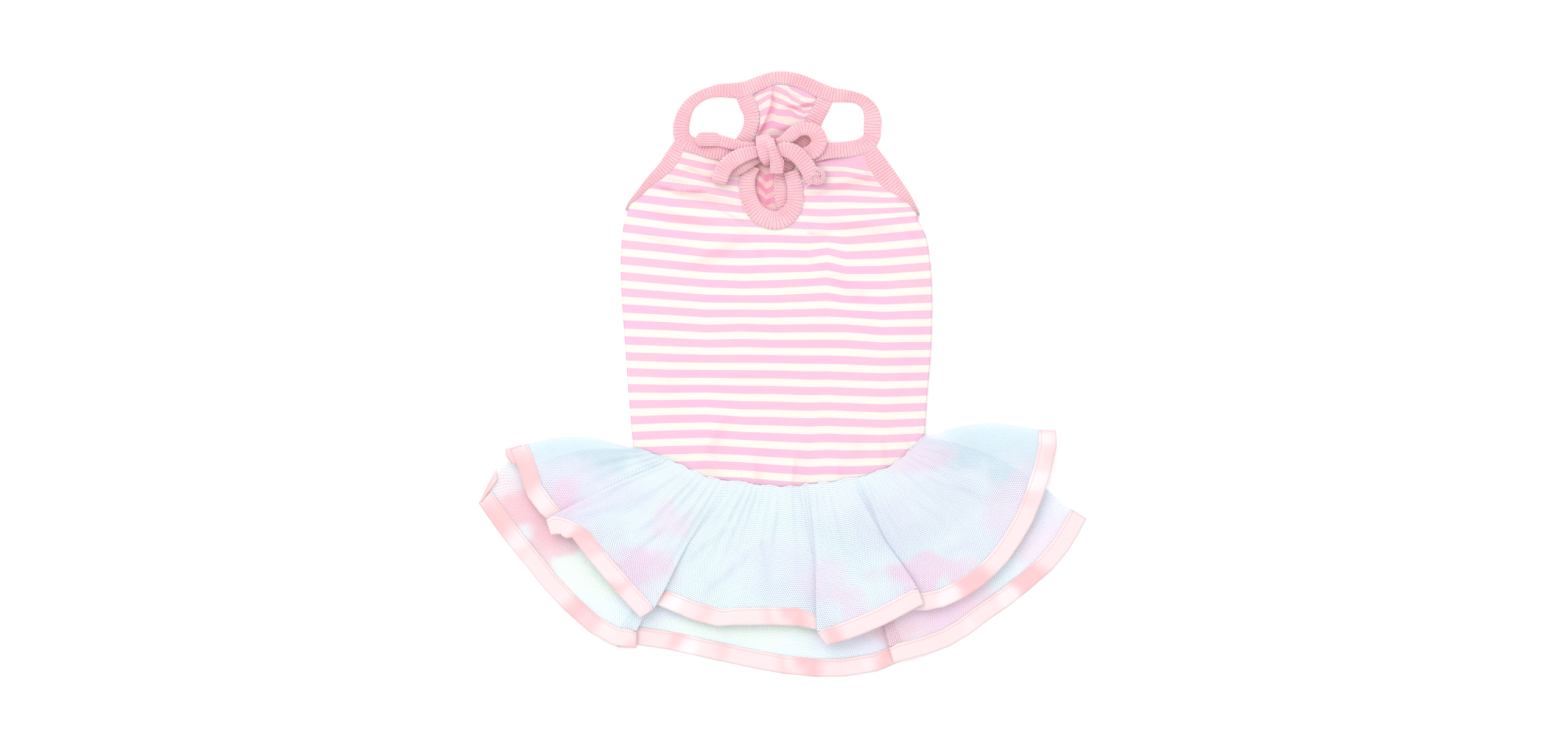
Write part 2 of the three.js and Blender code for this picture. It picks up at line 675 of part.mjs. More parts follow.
const upperTier = {
  hem: upperHem,
  floor: 5.6, // middle of the wall at level 0, clear of the lower tier's folds
  start: 3.5, // middle of the wall at the waist seam
  gathers: 46, // one crest each along the waist
  columns: 2, // for each gather: a trough and a crest
  puff: 1.5,
  sag: 6, // how far the free side edges bow
};
const lowerTier = { hem: lowerHem, floor: NET / 2, start: 1.8, gathers: 36, columns: 3, puff: 1.1, sag: 9 };
const DOWN = [0, 0.07, 0.2, 0.4, 0.7, 1]; // rows of a tier, as shares of its depth
const RISE_BY = 0.25; // share of its depth in which a tier reaches its hem's height
const FOLD = { from: 0.15, over: 0.45 }; // shares of the depth where the folds open out

// An S-fold's six places: the end of each leaf and the two edges between them
function foldColumns(row) {
  const along = THREE.MathUtils.degToRad(row.turn + 90);
  const falls = row.to < row.level;
  const first = falls ? 0 : row.back;
  const under = first - row.back;
  const places = [first, first + BEND, first, under, under - BEND, under];
  return places.map((place, k) => ({
    x: row.x + place * Math.cos(along),
    y: row.y + place * Math.sin(along),
    turn: row.turn,
    waist: row.waist + (FOLD_WAIST * k) / 5,
    level: mix(row.level, row.to, [0, 0.22, 0.43, 0.57, 0.78, 1][k]),
    fold: true,
  }));
}

// Columns of a tier from one free side edge to the other: the hem's rows with the gathers between them
function tierColumns(tier) {
  const rows = tier.hem.flatMap((row) => (row.back ? foldColumns(row) : [{ level: 0, ...row }]));
  const columns = [];
  for (let r = 0; r < rows.length - 1; r++) {
    const [a, b] = [rows[r], rows[r + 1]];
    const wanted = (b.waist - a.waist) * tier.gathers * tier.columns;
    const steps = a.fold && b.fold ? 1 : Math.max(1, Math.round(wanted));
    for (let s = 0; s < steps; s++) {
      const column = { fold: s === 0 && a.fold };
      for (const key of ["x", "y", "turn", "level", "waist"]) column[key] = mix(a[key], b[key], s / steps);
      columns.push(column);
    }
  }
  columns.push({ ...rows[rows.length - 1] });
  return columns;
}

// Where a fold's column would reach if its fold were pulled out flat
function pulledOut(columns, k) {
  let [first, last] = [k, k];
  while (columns[first].fold) first -= 1;
  while (columns[last].fold) last += 1;
  const [a, b] = [columns[first], columns[last]];
  const t = (columns[k].waist - a.waist) / (b.waist - a.waist || 1);
  return { x: mix(a.x, b.x, t), y: mix(a.y, b.y, t) };
}

function tierSurface(tier, columns) {
  const seam = lineThrough(waist);
  return DOWN.map((v) =>
    columns.map((column, k) => {
      const root = seam.getPointAt(column.waist);
      const flat = pulledOut(columns, k);
      const open = smooth((v - FOLD.from) / FOLD.over);
      const side = Math.max(0, 1 - 6 * Math.min(column.waist, 1 - column.waist));
      const x = mix(root.x, mix(flat.x, column.x, open), v);
      const hemY = mix(flat.y, column.y, open);
      const y = mix(root.y - GAP, hemY, v) + tier.sag * side * Math.sin(Math.PI * v);
      const edge = k === 0 || k === columns.length - 1;
      const crest = !column.fold && !edge && k % tier.columns === 1;
      const uneven = (0.7 + 0.3 * Math.sin(1.7 * k)) * (0.35 + 0.65 * smooth(1.2 - side));
      const puff = crest ? tier.puff * uneven * (Math.sin(Math.PI * Math.sqrt(v)) + 0.25 * (1 - v)) : 0;
      const height = tier.floor + LEAF * column.level;
      return new THREE.Vector3(x, y, mix(tier.start, height, smooth(v / RISE_BY)) + puff);
    }),
  );
}

function ribbonSurface(tier, columns) {
  return [0, 1].map((far) =>
    columns.map((column) => {
      const turn = THREE.MathUtils.degToRad(column.turn);
      const out = far ? RIBBON.width : GAP + (column.fold ? 0.8 * NET : 0);
      const height = tier.floor + LEAF * column.level;
      return new THREE.Vector3(column.x + out * Math.cos(turn), column.y + out * Math.sin(turn), height);
    }),
  );
}

for (const [name, tier] of Object.entries({ upper: upperTier, lower: lowerTier })) {
  const columns = tierColumns(tier);
  addMesh(`skirt_${name}_tier`, cloth(tierSurface(tier, columns), NET), COLOURS.net, 0.9);
  addMesh(`ribbon_${name}`, cloth(ribbonSurface(tier, columns), RIBBON.wall), COLOURS.ribbon, 0.35);
}

// Bow: the strip's two ends cross over the keyhole, with a loop and a tail on each side of the knot
const loopLeft = [
  { x: -16.9, y: 132.4, z: 7.6, width: 6.6 },
  { x: -21, y: 131.4, z: 7.8, width: 7.6 },
  { x: -25.4, y: 129.9, z: 8, width: 8.6 },
  { x: -30.2, y: 127.4, z: 8.1 },
  { x: -34.4, y: 123.8, z: 8 },
  { x: -36.9, y: 119.6, z: 7.6 },
  { x: -37.9, y: 116.4, z: 7 },
  { x: -38.2, y: 115, z: 6.2, width: 8 },
  { x: -37.9, y: 116.4, z: 5.4, width: 7 },
  { x: -36.4, y: 119, z: 5.2, width: 7 },
  { x: -32.8, y: 121.2, z: 5.5, width: 7.6 },
  { x: -27.4, y: 123, z: 6.4, width: 8 },
  { x: -22, y: 125.6, z: 6.9, width: 7 },
  { x: -17, y: 128.2, z: 6.9, width: 5.4 },
];
const loopRight = [
  { x: -4.1, y: 137.4, z: 5.8, width: 5 },
  { x: 0.4, y: 139.2, z: 5.8, width: 6.6 },
  { x: 4.6, y: 142.6, z: 5.6, width: 7.8 },
  { x: 8.6, y: 145.4, z: 5.2, width: 7.4 },
  { x: 14.4, y: 146.2, z: 4.9, width: 7.6 },
  { x: 19.4, y: 143.4, z: 4.6, width: 8.8 },
  { x: 21, y: 138.4, z: 4.6, width: 9 },
  { x: 18.2, y: 133.4, z: 4.7, width: 9 },
  { x: 12.4, y: 130.9, z: 4.7, width: 8 },
  { x: 5, y: 130.6, z: 4.7, width: 7 },
  { x: -3.6, y: 131, z: 4.7, width: 5 },
];
const tailRight = [
  { x: -4.1, y: 132.4, z: 8.2, width: 6.4 },
  { x: 0, y: 133.6, z: 8.4, width: 8.4 },
  { x: 5, y: 132.4, z: 8.3, width: 9.2 },
  { x: 9.6, y: 129, z: 7.8, width: 9.4 },
  { x: 13.4, y: 124.2, z: 6.7, width: 9.4 },
  { x: 16.4, y: 119, z: 5.5, width: 9.4 },
  { x: 18.9, y: 114.6, z: 4.6, width: 9.2 },
];
const tailLeft = [
  { x: -16.9, y: 135.6, z: 5, width: 4.6 },
  { x: -21.4, y: 135.4, z: 4.9, width: 5.4 },
  { x: -26.4, y: 136, z: 4.6, width: 6 },
  { x: -32, y: 137.4, z: 4.2, width: 6.4 },
  { x: -38, y: 139, z: 3.6, width: 6.6 },
  { x: -44.6, y: 140, z: 3, width: 6.4 },
  { x: -51.6, y: 140.2, z: 2.6, width: 6.2 },
];
// The strip's turn over the knot, ending in a short curl below it
const knotCurl = [
  { x: -8.6, y: 139.6, z: 10.4, width: 5 },
  { x: -7.4, y: 135.6, z: 11.6, width: 5 },
  { x: -6, y: 131, z: 11.4, width: 5.4 },
  { x: -4.8, y: 126.6, z: 10, width: 6.4 },
  { x: -4.3, y: 122.4, z: 8.2, width: 7.4 },
  { x: -4.3, y: 120.2, z: 6.9, width: 7.6 },
];
function knot() {
  const around = 24;
  const geometry = new THREE.SphereGeometry(1, around, 10).rotateZ(Math.PI / 2);
  const place = geometry.attributes.position;
  const fuller = (value) => Math.sign(value) * Math.abs(value) ** 0.75;
  for (let k = 0; k < place.count; k++) {
    const turn = Math.atan2(place.getZ(k), place.getY(k));
    const rib = 1 + 0.05 * Math.sign(Math.cos((around / 2) * turn + 0.01));
    place.setXYZ(
      k,
      (fuller(place.getX(k)) * KNOT.width) / 2,
      (fuller(place.getY(k)) * rib * KNOT.tall) / 2,
      (fuller(place.getZ(k)) * rib * KNOT.high) / 2,
    );
  }
  geometry.rotateZ(KNOT.turn).translate(KNOT.x, KNOT.y, KNOT.z);
  return joined(geometry, ribStrip(knotCurl, { wall: 1.5 }));
}
addMesh("bow_knot", knot(), COLOURS.rib);
const bowStrips = {
  bow_loop_left: loopLeft,
  bow_loop_right: loopRight,
  tie_tail_left: tailLeft,
  tie_tail_right: tailRight,
};
for (const [name, rows] of Object.entries(bowStrips)) addMesh(name, ribStrip(rows), COLOURS.rib);

dress.position.set(-CENTRE.x, -CENTRE.y, 0);
export default dress;
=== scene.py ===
"""Pet ballerina dress: the visual model of a small dog's tutu dress that lies flat, seen from its back.

Places in the tables are millimetres: x to the right, y from the hem to the neck, z up from what it lies on.
"""

import math
from types import SimpleNamespace

import bmesh
import bpy
import numpy as np
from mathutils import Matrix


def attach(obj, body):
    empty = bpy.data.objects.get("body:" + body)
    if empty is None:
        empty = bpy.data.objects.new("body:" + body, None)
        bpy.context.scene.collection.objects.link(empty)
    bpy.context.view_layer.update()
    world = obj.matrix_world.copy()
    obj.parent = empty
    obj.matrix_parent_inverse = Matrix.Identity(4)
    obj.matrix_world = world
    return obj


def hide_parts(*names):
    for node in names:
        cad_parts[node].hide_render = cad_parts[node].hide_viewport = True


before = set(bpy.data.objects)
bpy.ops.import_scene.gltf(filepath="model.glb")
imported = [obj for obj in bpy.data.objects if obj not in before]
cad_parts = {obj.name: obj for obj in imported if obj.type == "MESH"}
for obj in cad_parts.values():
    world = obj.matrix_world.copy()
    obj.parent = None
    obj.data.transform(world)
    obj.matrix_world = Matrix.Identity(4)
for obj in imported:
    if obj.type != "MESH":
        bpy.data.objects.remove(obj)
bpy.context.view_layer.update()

bl_info = {
    "name": "Ballerina Dress",
    "version": (1, 0, 0),
    "blender": (4, 5, 0),
    "location": "View3D > Sidebar > Dress",
    "description": "Builds a small dog's tutu dress, laid flat, in cloth",
    "category": "Object",
}

MM = 0.001
CENTRE_X = -0.75  # the tables' x at the frame's origin
GAP = 0.3  # between pieces at a seam, as in the solids
PHOTO = {"wide": 2576, "pixels_per_mm": 2.75, "middle_x": 0.93}


# Tables


def table(columns, *rows, **defaults):
    """Rows with named columns; a short row takes the defaults for the columns that it leaves out."""
    names = columns.split()
    return [SimpleNamespace(**{**defaults, **dict(zip(names, row))}) for row in rows]


def strip_rows(*rows, **defaults):
    return table("x y z width", *rows, **{"z": 0.0, "width": None, **defaults})


def mix(a, b, t):
    return a + (b - a) * t


def smooth(t):
    t = np.clip(t, 0.0, 1.0)
    return t * t * (3 - 2 * t)


class Line:
    """A smooth line through a table's rows, read by distance from its start."""

    STEPS = 24  # straight pieces between two rows

    def __init__(self, rows):
        self.rows = rows
        points = np.array([(r.x, r.y, getattr(r, "z", 0.0)) for r in rows], float)
        ends = (2 * points[0] - points[1], 2 * points[-1] - points[-2])
        padded = np.vstack([ends[0], points, ends[1]])
        fine = []
        for k in range(len(points) - 1):
            fine.append(self.span(padded[k : k + 4]))
        self.fine = np.vstack([*fine, points[-1:]])
        self.row_at = np.linspace(0, len(points) - 1, len(self.fine))
        steps = np.linalg.norm(np.diff(self.fine, axis=0), axis=1)
        self.far = np.concatenate([[0.0], np.cumsum(steps)])
        self.length = float(self.far[-1])

    def span(self, p):
        gaps = [max(np.linalg.norm(p[k + 1] - p[k]) ** 0.5, 1e-3) for k in range(3)]
        a = (p[1] - p[0]) / gaps[0] - (p[2] - p[0]) / (gaps[0] + gaps[1]) + (p[2] - p[1]) / gaps[1]
        b = (p[2] - p[1]) / gaps[1] - (p[3] - p[1]) / (gaps[1] + gaps[2]) + (p[3] - p[2]) / gaps[2]
        a, b = a * gaps[1], b * gaps[1]
        t = np.linspace(0, 1, self.STEPS, endpoint=False)[:, None]
        cubic = 2 * p[1] - 2 * p[2] + a + b
        square = -3 * p[1] + 3 * p[2] - 2 * a - b
        return cubic * t**3 + square * t**2 + a * t + p[1]

    def at(self, distance):
        return np.stack([np.interp(distance, self.far, self.fine[:, k]) for k in range(3)], axis=-1)

    def along(self, distance):
        step = 0.25
        way = self.at(np.minimum(distance + step, self.length)) - self.at(np.maximum(distance - step, 0))
        return way / np.linalg.norm(way, axis=-1, keepdims=True)

    def share(self, t):
        return self.at(np.asarray(t) * self.length)

    def value(self, distance, column, default):
        row = np.interp(distance, self.far, self.row_at)
        values = [getattr(r, column) if getattr(r, column) is not None else default for r in self.rows]
        return np.interp(row, range(len(values)), values)


def table_value(rows, places, x):
    """Each row's heights at its places, read at x: one line of numbers for every row."""
    return np.array([np.interp(x, places, row.heights) for row in rows])


# Shapes, as the solids have them

# One length of rib strip runs from a tie end along the back's neck edge, a strap, the chest panel's
# neck edge, the other strap and back to the other tie end. Widths are the strip's own where left out.
NECK_EDGE = strip_rows(
    (-30, 169.2, 0, 8.6), (-24, 169.9, 0, 9), (-18, 172.2, 0, 8.4),
    (-12, 174.7, 0, 7.8), (-6, 176.7, 0, 7.2), (1, 176.8, 0, 7.4), (8, 175.4, 0, 7.8),
    (15, 172.7, 0, 8), (22, 169.3, 0, 8.6),
)
STRAP_LEFT = strip_rows(
    (-30.8, 169.4, 0, 8.4), (-38, 169.3, 0, 7.4), (-45, 167.9, 0, 6),
    (-51.5, 164.9, 0, 6.2), (-57, 159.9, 0, 7), (-60, 153.5, 0, 8.4),
    (-61.2, 148.6, 0, 9), (-61.3, 145.6, 0, 9),
)
STRAP_RIGHT = strip_rows(
    (23, 168.8, 0, 8.6), (29.5, 166.8, 0, 8), (36, 166.2, 0, 7.2),
    (43.5, 164.9, 0, 6.2), (49, 161.6, 0, 7), (52, 157, 0, 8.8), (53.2, 151, 0, 10),
    (52.9, 147.2, 0, 9.8), (52.9, 144.6, 0, 9.8),
)
BACK_NECK_LEFT = strip_rows(
    (-61.3, 145.1, 0), (-61.2, 143.4, 0), (-60.3, 140.9, 0), (-58.3, 138.7, 0.1),
    (-54.5, 136.7, 0.3), (-49, 135, 0.6), (-43, 133.2, 1.2), (-36, 131.8, 2), (-24, 130.4, 2.2),
)
BACK_NECK_RIGHT = strip_rows(
    (52.9, 144.1, 0, 9.8), (52.8, 142.6, 0, 9.6), (51.9, 140.4, 0, 9.4), (50, 138.2, 0.1),
    (46.5, 136, 0.3), (41.5, 134.7, 0.6), (35, 133.8, 1.2), (27, 133.2, 1.9), (19, 131.4, 2.2),
    (11, 129.4, 2.2),
)
# Bindings on the chest panel's leg edges, in what shows and what the back panel covers
CHEST_LEG_LEFT = strip_rows(
    (-22.9, 164.6, 0, 9.6), (-21.1, 160.6, 0, 10), (-19.4, 155.6), (-18.9, 150.5),
    (-20.6, 144.5), (-24, 138.8), (-28.5, 133),
)
CHEST_LEG_LEFT_HIDDEN = strip_rows(
    (-27.8, 133.9, 0.2), (-33, 126.6), (-40.5, 117.8), (-50.5, 109.8), (-62, 103.4), (-76, 98.4),
    (-88.5, 95.2),
)
CHEST_LEG_RIGHT = strip_rows(
    (23.9, 162.6), (22.6, 159.6), (20.1, 155), (17.3, 149.4), (12.4, 141), (5.2, 130.6),
    (0.2, 121.8), (-1.4, 115.5), (-1.5, 108.5), (0.6, 98.5),
)
CHEST_LEG_RIGHT_HIDDEN = strip_rows(
    (0.3, 99.6, 0.2), (4, 91), (12.5, 84.4), (26, 81.6), (44, 84), (61, 88.8), (76, 93),
)
# Bindings on the back's leg edges, narrowing where they turn under at the side seams
BACK_LEG_LEFT = strip_rows(
    (-63, 135.5, 0.2, 7.6), (-65.8, 130.4, 0.4, 8.8), (-70, 124.4, 0.5, 8.4),
    (-75.4, 118.9, 0.5, 7), (-79.9, 115.1, 0.5, 5.2), (-84.2, 110.4, 0.7, 4),
    (-88.2, 106.1, 0.9, 3), (-91.8, 102, 1.1, 2), (-94.2, 97.6, 1.3, 1),
)
BACK_LEG_RIGHT = strip_rows(
    (51.2, 133, 0.2, 9.4), (55.6, 126, 0.4, 11), (61, 118, 0.5, 11.6), (66.8, 111, 0.5, 10),
    (72.6, 105.2, 0.7, 7), (77.4, 99.8, 0.9, 3.4), (80.8, 94.8, 1.3, 1.2),
)
KEYHOLE = strip_rows(
    (-18.6, 124.4, 2.2), (-21.2, 118.5, 2.2), (-21.8, 112.5, 2.2, 9.2), (-21, 106.3, 2.2, 9.5),
    (-18.4, 99.6, 2.2, 10), (-13.8, 94.6, 2.2, 10.4), (-7.6, 92, 2.2, 10.8), (-2, 92.3, 2.2, 10.8),
    (3.2, 95.7, 2.2, 10.4), (6.5, 101.5, 2.2, 9.6), (7, 108, 2.2, 9.2), (6.4, 114, 2.2),
    (4.4, 121.2, 2.2),
)
# The bow's loops and the strip's two free ends
LOOP_LEFT = strip_rows(
    (-12.4, 133, 7.2, 5.4), (-16.9, 132.4, 7.5, 6.6), (-21, 131.4, 7.8, 7.6), (-25.4, 129.9, 8, 8.6),
    (-30.2, 127.4, 8.1), (-34.4, 123.8, 8), (-36.9, 119.6, 7.6), (-37.9, 116.4, 7), (-38.2, 115, 6.2, 8),
    (-37.9, 116.4, 5.4, 7), (-36.4, 119, 5.2, 7), (-32.8, 121.2, 5.5, 7.6), (-27.4, 123, 6.4, 8),
    (-22, 125.6, 6.7, 7), (-17, 128.2, 6.1, 6), (-12.4, 129.8, 5.2, 4.8),
)
LOOP_RIGHT = strip_rows(
    (-4.1, 137.4, 5.8, 5), (0.4, 139.2, 5.8, 6.6), (4.6, 142.6, 5.6, 7.8), (8.6, 145.4, 5.2, 7.4),
    (14.4, 146.2, 4.9, 7.6), (19.4, 143.4, 4.6, 8.8), (21, 138.4, 4.6, 9), (18.2, 133.4, 4.7, 9),
    (12.4, 130.9, 4.7, 8), (5, 130.6, 4.7, 7), (-3.6, 131, 4.7, 5),
)
TAIL_RIGHT = strip_rows(
    (-4.1, 132.4, 8.2, 6.4), (0, 133.6, 8.4, 8.4), (5, 132.4, 8.3, 9.2), (9.6, 129, 7.8, 9.4),
    (13.4, 124.2, 6.7, 9.4), (16.4, 119, 5.5, 9.4), (18.9, 114.6, 4.6, 9.2),
)
TAIL_LEFT = strip_rows(
    (-16.9, 135.6, 5, 4.6), (-21.4, 135.4, 4.9, 5.4), (-26.4, 136, 4.6, 6), (-32, 137.4, 4.2, 6.4),
    (-38, 139, 3.6, 6.6), (-44.6, 140, 3, 6.4), (-51.6, 140.2, 2.6, 6.2),
)
KNOT_CURL = strip_rows(
    (-8.6, 139.6, 10.4, 5), (-7.4, 135.6, 11.6, 5), (-6, 131, 11.4, 5.4), (-4.8, 126.6, 10, 6.4),
    (-4.3, 122.4, 8.2, 7.4), (-4.3, 120.2, 6.9, 7.6),
)
# The chest panel under the back: its top, with the foot of its neck, its hem and its sides
CHEST_BODY = (
    table(
        "x y",
        (-93.4, 89.4), (-75, 93.4), (-60.3, 98.6), (-48.2, 105.4), (-37.2, 113.8), (-34.6, 116.6),
        (-20, 114), (-6.4, 111.2), (-6.4, 108), (-4.4, 97.8), (-0.8, 87), (8.8, 79.4), (26, 76.2),
        (44.7, 79.1), (62, 83.9), (76, 88.1), (81.5, 88),
    ),
    table("x y", (-88.4, -43), (-60, -45.5), (0, -47), (50, -44), (82.3, -36)),
    table(
        "x y",
        (-93.4, 89.4), (-96, 69.6), (-96, 56.5), (-93.4, 17.6), (-89.6, -31), (-88.4, -43),
    ),
    table(
        "x y",
        (81.5, 88), (85.8, 69.6), (87.2, 50.3), (87.2, 30.7), (84.8, -8.2), (82.3, -36),
    ),
)
# The seam between the back panel and the tiers
WAIST = table(
    "x y",
    (-89.6, -44.6), (-71.5, -50), (-59.1, -55.9), (-45.3, -62), (-28.9, -64.6), (-10.4, -67.1),
    (4.5, -67.6), (18.4, -66), (37.3, -63.5), (54, -59.5), (68, -52.5), (83.7, -37.3),
)
# The hole in the back panel under the keyhole's binding
KEYHOLE_CUT = table(
    "x y",
    (-23.6, 140), (-23.6, 125), (-26.5, 117.5), (-27.3, 111), (-26.4, 104.4), (-23.5, 97),
    (-18.2, 90.6), (-12, 87.2), (-5.4, 85.9), (1.3, 87), (7.2, 91.4), (10.9, 97.4), (12.2, 104.5),
    (12.1, 110.6), (10.6, 117.5), (9.2, 124), (9.2, 140),
)
CHEST_NECK = {
    "top": table(
        "x y",
        (-17.2, 164.6), (-14.8, 168), (-11.4, 170), (-6, 172), (0.9, 172.4), (9.4, 170.4),
        (14.2, 168.2), (19, 164.6),
    ),
    "left": table(
        "x y",
        (-17.2, 164.6), (-15.1, 160.5), (-13.9, 155.6), (-13.7, 150.8), (-15.1, 145),
        (-18.4, 138.2), (-23.4, 131.6), (-29, 123.8), (-36, 115.4), (-39, 102), (-37, 89),
    ),
    "right": table(
        "x y",
        (19, 164.6), (17.3, 160.4), (15.1, 156.4), (12.2, 150.8), (7.3, 142.6), (0.1, 132.4),
        (-5, 122.9), (-6.6, 115.6), (-6.4, 109.4), (-4.4, 98), (-1, 89),
    ),
}
BACK = {
    "top": table(
        "x y",
        (-61.6, 133.6), (-52.5, 130.6), (-45, 128.2), (-37, 126.8), (-20, 125.4), (0, 123.4),
        (18.4, 125.4), (28.5, 128.2), (36.5, 128.8), (49.2, 131.8),
    ),
    "left": table(
        "x y",
        (-61.6, 133.6), (-63, 129.6), (-68.2, 122.6), (-74.4, 117), (-79.4, 113), (-86, 106.4),
        (-91.6, 99), (-95.5, 89.2), (-97.3, 69.6), (-97.3, 56.5), (-96.2, 37.2), (-94.7, 17.6),
        (-92.9, -8.2), (-90.9, -31.5), (-89.6, -44.6),
    ),
    "right": table(
        "x y",
        (49.2, 131.8), (52.6, 124.8), (58, 116.6), (63.8, 109.6), (71.2, 103.2), (76.8, 98),
        (80, 91.6), (84.6, 82.7), (87.1, 69.6), (88.5, 50.3), (88.5, 30.7), (87.7, 11.1),
        (86, -8.2), (84.6, -27.9), (83.7, -37.3),
    ),
}
CHEST_CREASES = table(
    "x y x2 y2 rise wide",
    (-7.5, 170, -8.5, 157, 0.9, 2.2),
    (-8.5, 158, -19, 138.5, 1.1, 2.6),
    (18, 163, 2, 160.5, 0.8, 2),
    (12, 150, -6, 146, 0.6, 2.4),
    (-16, 112, -9, 122, 0.6, 2.2),
)
BACK_CREASES = table(
    "x y x2 y2 rise wide",
    (8, 83, 43, 50, 1.5, 4.5),
    (-62, 112, -28, 104, 1, 4),
    (-80, 101, -44, 92, 0.8, 4.5),
    (14, 112, 46, 117, 1, 4),
    (14, 97, 62, 88, 0.9, 4.5),
    (-26, 84, -60, 66, 0.7, 5.5),
    (30, -20, 46, -52, 0.6, 5),
    (-38, -24, -50, -52, 0.6, 5),
)
# Places on a tier's hem: where the net ends, the way the ribbon lies out from there (turn, in degrees),
# its level, and the share of the waist it is gathered to. A row with back is an S-fold: its upper leaf
# ends at (x, y), and the leaves under it run back that far, to the next level.
UPPER_HEM = table(
    "x y turn waist level back to",
    (-153.3, -41.7, 199, 0), (-149.6, -50, 208, 0.02), (-144.5, -67, 214, 0.055),
    (-138.4, -75.4, 228, 0.08), (-140.4, -85.8, 288, 0.1, 0, 9, 2), (-134.6, -85.2, 280, 0.142, 2),
    (-127.6, -87.4, 250, 0.158, 2), (-116.5, -93.8, 200, 0.18, 2), (-108.6, -104, 206, 0.2, 2),
    (-98.6, -115.4, 218, 0.235, 2), (-87.8, -127.9, 222, 0.275, 2),
    (-77.8, -138.6, 214, 0.312, 2, 9, 0), (-68.9, -129.6, 234, 0.362), (-50.4, -137.3, 243, 0.4),
    (-36, -141, 250, 0.43), (-29, -139.8, 258, 0.445, 0.3), (-10, -139.5, 270, 0.485),
    (8, -140, 273, 0.528), (21, -153, 307, 0.552, 0, 10, 2), (29.6, -150.6, 302, 0.606, 2),
    (42.7, -145.7, 297, 0.634, 2), (55, -140.5, 297, 0.662, 2), (68.5, -133.4, 296, 0.695, 2),
    (78.6, -128, 290, 0.72, 2, 9, 0), (84, -131, 276, 0.774), (93.5, -128.8, 283, 0.794),
    (103.5, -124, 296, 0.816), (112, -118.4, 304, 0.838), (119, -112.4, 312, 0.858),
    (126.2, -104.6, 320, 0.88), (132.6, -95.2, 327, 0.904), (139.2, -84, 332, 0.93),
    (144.6, -70.6, 340, 0.955), (149.2, -57, 345, 0.975), (152.6, -42.5, 352, 0.99),
    (152.4, -33.2, 359, 1),
    level=0,
    back=0,
    to=0,
)
LOWER_HEM = table(
    "x y turn waist level back to",
    (-175.2, -69.8, 225, 0), (-166.4, -82.4, 222, 0.03), (-158.6, -92.8, 219, 0.055),
    (-144.2, -110.4, 218, 0.09), (-136.2, -120.6, 220, 0.12), (-124.2, -133.4, 226, 0.16),
    (-110.2, -145.6, 236, 0.21, 1), (-98.4, -152, 250, 0.25, 2), (-89, -153.3, 268, 0.28, 2, 9, 0),
    (-86, -151.6, 264, 0.333), (-67.5, -154.4, 258, 0.37), (-40.9, -160.3, 259, 0.425),
    (-17.6, -165.3, 258, 0.475), (1, -168.8, 262, 0.52), (19.5, -170.6, 267, 0.56),
    (36, -170.4, 273, 0.6), (54.4, -167.4, 280, 0.645), (64, -162.4, 288, 0.68, 0, 6, 2),
    (71, -160.6, 286, 0.724, 2), (82, -157.8, 286, 0.745, 1), (94.7, -153.3, 293, 0.772),
    (105, -147.2, 302, 0.797), (116, -138.8, 308, 0.824), (129.3, -129.6, 309, 0.86),
    (141, -120.2, 311, 0.89), (153, -109.8, 317, 0.925), (161.6, -99.4, 323, 0.955),
    (167, -90.6, 326, 0.98), (172.2, -80.9, 328, 1),
    level=0,
    back=0,
    to=0,
)


# Stripes: each row is a pink band, numbered up from the middle of the dress, and its heights at the places
# across it
STRIPE_PLACES = (-96, -68, -46, -24, -6, 15, 26, 37, 59, 90)
STRIPES = table(
    "band heights",
    (-7, (-65.4, -64.2, -63.6, -64.2, -66, -67.2, -66.8, -67, -66.2, -64.4)),
    (-6, (-55.8, -54.8, -54.2, -55.1, -56.6, -58, -57.4, -57.7, -56.8, -55)),
    (-3, (-27.9, -26.8, -26.4, -27.9, -28.2, -28.9, -28.4, -28.9, -29.8, -28.6)),
    (0, (1.2, 0.1, 0.1, -0.2, -0.2, -0.9, -0.9, -1.3, -2, -1.3)),
    (3, (29.6, 28.5, 27.1, 27.8, 27.1, 27.4, 27.4, 27.4, 25.6, 26)),
    (6, (58.4, 55.8, 54, 53.2, 53.6, 54.7, 55.4, 53.2, 52.9, 54.8)),
    (8, (77.4, 74.7, 72.1, 71.4, 72.1, 71.6, 73.4, 70.7, 71.4, 74)),
    (10, (97, 92.9, 91.1, 90.3, 89.5, 88.5, 87.8, 88.5, 91.1, 94.2)),
    (12, (115, 112, 110.3, 106, 105, 104.6, 104.4, 104.6, 103.6, 104)),
    (13, (124, 121.6, 115.8, 113.6, 112, 112, 112, 112, 110.2, 110)),
    (14, (133, 129, 123.9, 121.5, 120, 119.5, 119.5, 119.5, 115.6, 115)),
    (15, (140, 136, 131.5, 129, 127, 126, 125.5, 125, 121, 120)),
)
